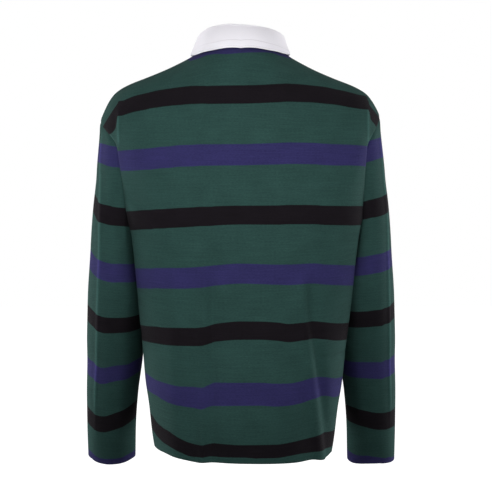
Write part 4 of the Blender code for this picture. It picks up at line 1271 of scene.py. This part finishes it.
def build_strip(name, grid, level, finish):
    """A strip of the placket, its edges turned in and stitched."""
    free = np.minimum(from_sides(grid), from_last(grid))
    crown = STRIP_CROWN * smooth_step(free / STRIP_CROWN_EASE)
    sunk = STITCH_SINK * bump(free - STITCH_AT, STITCH_WIDTH)
    grid = grid + level * (crown - sunk)[..., None]
    values = {"course": body_course(grid)}
    return cloth(name, grid, level, finish, free, values)


def build_plackets(front, normals, finish):
    """The under strip fills the slit, and the upper strip lies over both its edges."""
    centre = front.shape[1] // 2
    level = np.repeat(normals[: SLIT_ROWS + 1, centre : centre + 1], STRIP_COLUMNS, axis=1)
    under = strip_rows(front, normals, PLACKET_HALF_WIDTH - SEAM_GAP, 0.0)
    made = {"placket_under": build_strip("placket_under", under, level, finish)}
    upper = strip_rows(front, normals, PLACKET_HALF_WIDTH + PLACKET_OVERLAP, PLACKET_LIFT)
    tail_way = upper[-1] - upper[-2]
    tail_way /= np.linalg.norm(tail_way, axis=1, keepdims=True)
    tails = [upper[-1] + tail_way * PLACKET_TAIL * share for share in TAIL_SHARES]
    upper = np.concatenate([upper, np.array(tails)])
    level = np.concatenate([level, np.repeat(level[-1:], len(tails), axis=0)])
    made["placket_upper"] = build_strip("placket_upper", upper, level, finish)
    return made, upper, level


def circle(radius, height, count):
    """Points round a level circle."""
    turns = [TURN * i / count for i in range(count)]
    return [Vector((radius * math.cos(t), radius * math.sin(t), height)) for t in turns]


def add_skin(shape, rings):
    """Adds a skin over rings of points, where one point alone is a tip, and closes flat ends."""
    count = max(map(len, rings))
    made = []
    for ring in rings:
        spots = [shape.verts.new(point) for point in ring]
        made.append(spots * (count // len(spots)))
    for i in range(count):
        j = (i + 1) % count
        for low, high in zip(made, made[1:]):
            shape.faces.new(tuple(dict.fromkeys((low[i], low[j], high[j], high[i]))))
    if len(rings[0]) > 1:
        shape.faces.new(made[0][::-1])
        shape.faces.new(made[-1])


def add_thread(shape, points):
    """Adds a round thread along the points."""
    rings = []
    for i, point in enumerate(points):
        ahead = points[min(i + 1, len(points) - 1)] - points[max(i - 1, 0)]
        turn = ahead.to_track_quat("Z", "Y")
        rings.append([point + turn @ spot for spot in circle(THREAD_RADIUS, 0, THREAD_SEGMENTS)])
    add_skin(shape, rings)


def mesh_of(name, shape, finish):
    """A mesh of this shape, in one material."""
    mesh = bpy.data.meshes.new(name)
    shape.to_mesh(mesh)
    shape.free()
    mesh.materials.append(finish)
    return mesh


def build_button(name, seat, normal, finish, thread):
    """A four-hole button on its seat, with crossed thread."""
    turn = Vector(normal).to_track_quat("Z", "Y").to_matrix().to_4x4()
    place = Matrix.Translation(Vector(seat)) @ turn
    disc, holes, threads = bmesh.new(), bmesh.new(), bmesh.new()
    rings = [
        circle(across * BUTTON_RADIUS, up * BUTTON_THICKNESS, BUTTON_SEGMENTS)
        for across, up in BUTTON_PROFILE
    ]
    dish = rings[-1][0].z
    add_skin(disc, [[(0, 0, 0)], *rings, [(0, 0, dish)]])
    for i in range(4):
        angle = math.pi / 4 + i * math.pi / 2
        spin = Matrix.Rotation(angle, 4, "Z")
        middle = (HOLE_AT * math.cos(angle), HOLE_AT * math.sin(angle), BUTTON_THICKNESS / 2)
        bmesh.ops.create_cone(holes, cap_ends=True, segments=HOLE_SEGMENTS, radius1=HOLE_RADIUS,
                              radius2=HOLE_RADIUS, depth=2 * BUTTON_THICKNESS,
                              matrix=Matrix.Translation(middle))
        for offset in (-THREAD_RADIUS, THREAD_RADIUS) if i < 2 else ():
            points = []
            for t in np.linspace(-1, 1, THREAD_POINTS):
                up = dish + THREAD_ARCH * (1 - t**4) - THREAD_SINK * abs(t) ** 6 + THREAD_LIFT * i
                points.append(place @ spin @ Vector((HOLE_AT * t, offset, up)))
            add_thread(threads, points)
    button = placed(name + "_disc", mesh_of(name, disc, finish))
    cutter = placed(name + "_holes", mesh_of(name + "_holes", holes, finish))
    cut = button.modifiers.new("holes", "BOOLEAN")
    cut.object, cut.solver = cutter, "EXACT"
    graph = bpy.context.evaluated_depsgraph_get()
    cut_mesh = bpy.data.meshes.new_from_object(button.evaluated_get(graph))
    button.modifiers.clear()
    button.data = cut_mesh
    bpy.data.objects.remove(cutter, do_unlink=True)
    cut_mesh.transform(place)
    cut_mesh.shade_smooth()
    cut_mesh.set_sharp_from_angle(angle=math.radians(BUTTON_CREASE))
    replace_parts(riding(button), name)
    thread_mesh = mesh_of(name + "_thread", threads, thread)
    thread_mesh.shade_smooth()
    riding(placed(name + "_thread", thread_mesh))


def build_buttons(upper, level, finish, thread):
    """Three buttons down the middle of the upper placket."""
    middle, normals = upper[:, STRIP_COLUMNS // 2], level[:, STRIP_COLUMNS // 2]
    order = middle[:, 2].argsort()
    for i, height in enumerate(BUTTON_HEIGHTS):
        seat, normal = (
            np.array([np.interp(height, middle[order, 2], values[order, k]) for k in range(3)])
            for values in (middle, normals)
        )
        normal = unit(normal)
        seat = seat + normal * (KNIT_WALL / 2 + STRIP_CROWN + SEAM_GAP)
        build_button(f"button_{i + 1}", seat, normal, finish, thread)


def feed(socket, value):
    """Links a shader's value to a socket, or sets a plain number or colour."""
    if isinstance(value, Value):
        value.nodes.tree.links.new(value.socket, socket)
    else:
        socket.default_value = value


class Value:
    """A value in a shader, on which arithmetic works."""

    def __init__(self, nodes, socket):
        self.nodes, self.socket = nodes, socket

    def math(self, operation, *others):
        return self.nodes.add("Math", enumerate((self, *others)), operation=operation)

    def __add__(self, other):
        return self.math("ADD", other)

    def __sub__(self, other):
        return self.math("SUBTRACT", other)

    def __mul__(self, other):
        return self.math("MULTIPLY", other)

    def __truediv__(self, other):
        return self.math("DIVIDE", other)


class Nodes:
    """Shorthand for building a shader."""

    def __init__(self, tree):
        self.tree = tree

    def add(self, kind, given=(), output=0, **settings):
        """The output of a new node with these inputs and settings."""
        node = self.tree.nodes.new("ShaderNode" + kind)
        for key, value in settings.items():
            setattr(node, key, value)
        for key, value in dict(given).items():
            feed(node.inputs[key], value)
        return Value(self, node.outputs[output])

    def value(self, name):
        """A named point value of the cloth."""
        return self.add("Attribute", output="Fac", attribute_name=name)

    def knitting(self):
        """Lengths along the cloth, across and down."""
        place = self.add("UVMap", uv_map="knit")
        return [self.add("SeparateXYZ", {0: place}, axis) for axis in (0, 1)]

    def clouds(self, across, down, table, shade):
        """The shade, made uneven by noises that have their own scales across and down."""
        for across_scale, down_scale, detail, offset, strength in table:
            place = {0: across * across_scale + offset, 1: down * down_scale}
            place = self.add("CombineXYZ", place)
            given = {"Vector": place, "Scale": 1.0, "Detail": detail}
            shade = self.add("TexNoise", given, "Fac") * strength + shade
        return shade

    def mix(self, amount, first, second):
        """The first colour, or the second where the amount is 1."""
        given = {0: amount, 6: (*first, 1) if isinstance(first, tuple) else first, 7: (*second, 1)}
        return self.add("Mix", given, 2, data_type="RGBA")

    def finish(self, colour, shade, height=None, relief=()):
        """Sets the shader's colour, lighter or darker by the shade, and its relief."""
        colour = self.add("VectorMath", {0: colour, "Scale": shade}, operation="SCALE")
        inputs = self.tree.nodes["Principled BSDF"].inputs
        feed(inputs["Base Color"], colour)
        if relief:
            distance, strength = relief
            given = {"Strength": strength, "Distance": distance, "Height": height}
            feed(inputs["Normal"], self.add("Bump", given))


def material(name, roughness, sheen, sheen_roughness, gloss):
    """A new material and its nodes."""
    made = bpy.data.materials.new(name)
    made.use_nodes = True
    inputs = made.node_tree.nodes["Principled BSDF"].inputs
    for key, value in (
        ("Roughness", roughness), ("Metallic", 0.0), ("Sheen Weight", sheen),
        ("Sheen Roughness", sheen_roughness), ("Specular IOR Level", gloss),
    ):
        inputs[key].default_value = value
    return made, Nodes(made.node_tree)


def line_at(distance, at):
    """1 on a stitched line at one distance from an edge, and 0 off it."""
    return (distance - at).math("ABSOLUTE").math("LESS_THAN", STITCH_HALF)


def dashes(run, pitch, share):
    """1 on the stitches of a line and 0 between them."""
    return (run / pitch).math("FRACT").math("LESS_THAN", share)


def knit_material(name, stripes, hem_band=None):
    """Cotton jersey: yarn-dyed stripes, faint course streaks, stitches, a soft nap, painted
    highlights and shade.
    """
    made, nodes = material(name, *KNIT_LOOK)
    across, down = nodes.knitting()
    free = nodes.value("free")
    level = nodes.value("course") - RAGGED / 2
    level = nodes.clouds(across, down, RAGGED_CLOUDS, level)
    colour = GREEN
    for top, bottom, stripe in stripes:
        inside = level.math("COMPARE", (top + bottom) / 2, (top - bottom) / 2)
        colour = nodes.mix(inside, colour, stripe)
    colour = nodes.mix(nodes.value("neck").math("GREATER_THAN", 0.0), colour, NAVY)
    if hem_band:
        colour = nodes.mix(free.math("LESS_THAN", hem_band), colour, NAVY)
    leg = ((across / WALE).math("FRACT") - 0.5).math("ABSOLUTE")
    loop = ((down / COURSE + leg * LOOP_SLANT) * TURN).math("SINE")
    relief = loop * LOOP_HEIGHT + (leg * TURN).math("SINE") * RIB_HEIGHT
    # painted shade: darker in the hollows of the loops' relief
    shade = nodes.clouds(across, down, KNIT_CLOUDS, relief * LOOP_SHADE + KNIT_BASE)
    # painted highlights: pale lines beside the seams and along the creases
    for line, at, width, pale in PAINTED_HIGHLIGHTS:
        away = (nodes.value(line + "_run") - at) / width
        painted_highlight = (away * away * -2).math("EXPONENT") * nodes.value(line + "_painted_highlight")
        shade = shade * (painted_highlight * pale + 1)
    first, second = (line_at(free, at) for at in HEM_STITCHES)
    seams = first.math("MAXIMUM", second)
    thread = seams * dashes(across, *HEM_DASHES)
    # painted shade in the hem's sunk stitch lines
    shade = shade * (seams * HEM_LINE_SHADE + 1) * (thread * HEM_THREAD_SHADE + 1)
    height = relief + (seams - thread) * HEM_LINE_HEIGHT + thread * HEM_THREAD_HEIGHT
    nodes.finish(colour, shade, height, KNIT_RELIEF)
    return made


def twill_material(name):
    """White cotton twill with an edge stitch, and painted shade in its weave, sunk line and raised
    line.
    """
    made, nodes = material(name, *TWILL_LOOK)
    across, down = nodes.knitting()
    weave = ((across / TWILL + down / (TWILL * WEAVE_SLANT)) * TURN).math("SINE")
    # painted shade: darker in the hollows of the weave
    shade = nodes.clouds(across, down, TWILL_CLOUDS, weave * WEAVE_SHADE + TWILL_BASE)
    seam = line_at(nodes.value("free"), COLLAR_STITCH_AT)
    thread = seam * dashes(across, *COLLAR_DASHES)
    step = nodes.value("step").math("ABSOLUTE").math("LESS_THAN", COLLAR_STEP_HALF)
    # painted shade in the sunk stitch line, and a painted shadow along the raised line
    shade = shade * ((seam - thread) * COLLAR_LINE_SHADE + 1)
    shade = shade * (step * nodes.value("strength") * COLLAR_STEP_SHADE + 1)
    height = thread * COLLAR_THREAD_HEIGHT + weave * WEAVE_HEIGHT
    nodes.finish(WHITE, shade, height, TWILL_RELIEF)
    return made


def clouded_material(name, look, colour, clouds, relief=()):
    """One colour with a faint cloudy grain: button plastic or twisted thread."""
    made, nodes = material(name, *look)
    scale, strength, base = clouds
    place = nodes.add("TexCoord", output="Object")
    grain = nodes.add("TexNoise", {"Vector": place, "Scale": scale}, "Fac")
    nodes.finish(colour, grain * strength + base, grain, relief)
    return made


def build_floor():
    """A plain pale floor that the camera sees as white."""
    mesh = bpy.data.meshes.new("floor")
    corners = ((-1, -1), (1, -1), (1, 1), (-1, 1))
    spots = [(FLOOR_HALF * x, FLOOR_HALF * y, FLOOR_HEIGHT) for x, y in corners]
    mesh.from_pydata(spots, [], [(0, 1, 2, 3)])
    paint, nodes = material("floor_paint", *FLOOR_LOOK)
    inputs = nodes.tree.nodes["Principled BSDF"].inputs
    inputs["Base Color"].default_value = FLOOR_GREY
    inputs["Emission Color"].default_value = WHITE_LIGHT
    glow = nodes.add("LightPath", output="Is Camera Ray") * FLOOR_GLOW
    feed(inputs["Emission Strength"], glow)
    mesh.materials.append(paint)
    placed("floor", mesh)


def build_lights():
    """Soft studio lights all round, and a surround that is white to the camera only."""
    for name, place, aim, size, power in LIGHTS:
        data = bpy.data.lights.new(name, "AREA")
        data.shape = "RECTANGLE"
        data.size, data.size_y = size
        data.energy = power
        light = placed(name, data)
        light.location = place
        light.rotation_mode = "QUATERNION"
        light.rotation_quaternion = (Vector(aim) - Vector(place)).to_track_quat("-Z", "Y")
        light.visible_camera = False
    world = bpy.data.worlds.new("surround")
    world.use_nodes = True
    nodes, old = Nodes(world.node_tree), world.node_tree.nodes
    old["Background"].inputs["Color"].default_value = WHITE_LIGHT
    old["Background"].inputs["Strength"].default_value = SURROUND_LIGHT
    soft = Value(nodes, old["Background"].outputs[0])
    seen = nodes.add("LightPath", output="Is Camera Ray")
    bright = nodes.add("Background", {"Color": WHITE_LIGHT, "Strength": 1})
    mixed = nodes.add("MixShader", {0: seen, 1: soft, 2: bright})
    feed(old["World Output"].inputs["Surface"], mixed)
    bpy.context.scene.world = world
    bpy.context.scene.view_settings.view_transform = "Standard"


def build_camera():
    data = bpy.data.cameras.new("camera")
    data.lens, data.sensor_width = CAMERA_LENS, CAMERA_SENSOR
    data.clip_start = CAMERA_NEAR
    camera = placed("camera", data)
    camera.location = CAMERA_PLACE
    camera.rotation_euler = (math.pi / 2, 0, math.pi)
    bpy.context.scene.camera = camera


def main():
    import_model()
    finish = {
        "body": knit_material("striped_knit_body", BODY_STRIPES),
        "sleeve": knit_material("striped_knit_sleeve", SLEEVE_STRIPES, CUFF_BAND),
    }
    made, grids, normals = build_body(finish)
    made["collar"] = build_collar(grids, twill_material("white_twill"))
    strips, upper, level = build_plackets(grids["front"], normals["front"], finish["body"])
    made.update(strips)
    for name, piece in made.items():
        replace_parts(piece, name)
    plastic = clouded_material(
        "button_plastic_satin", PLASTIC_LOOK, BUTTON_WHITE, PLASTIC_CLOUDS, PLASTIC_RELIEF
    )
    thread = clouded_material("button_thread", THREAD_LOOK, WHITE, THREAD_CLOUDS)
    build_buttons(upper, level, plastic, thread)
    build_floor()
    build_lights()
    build_camera()


main()
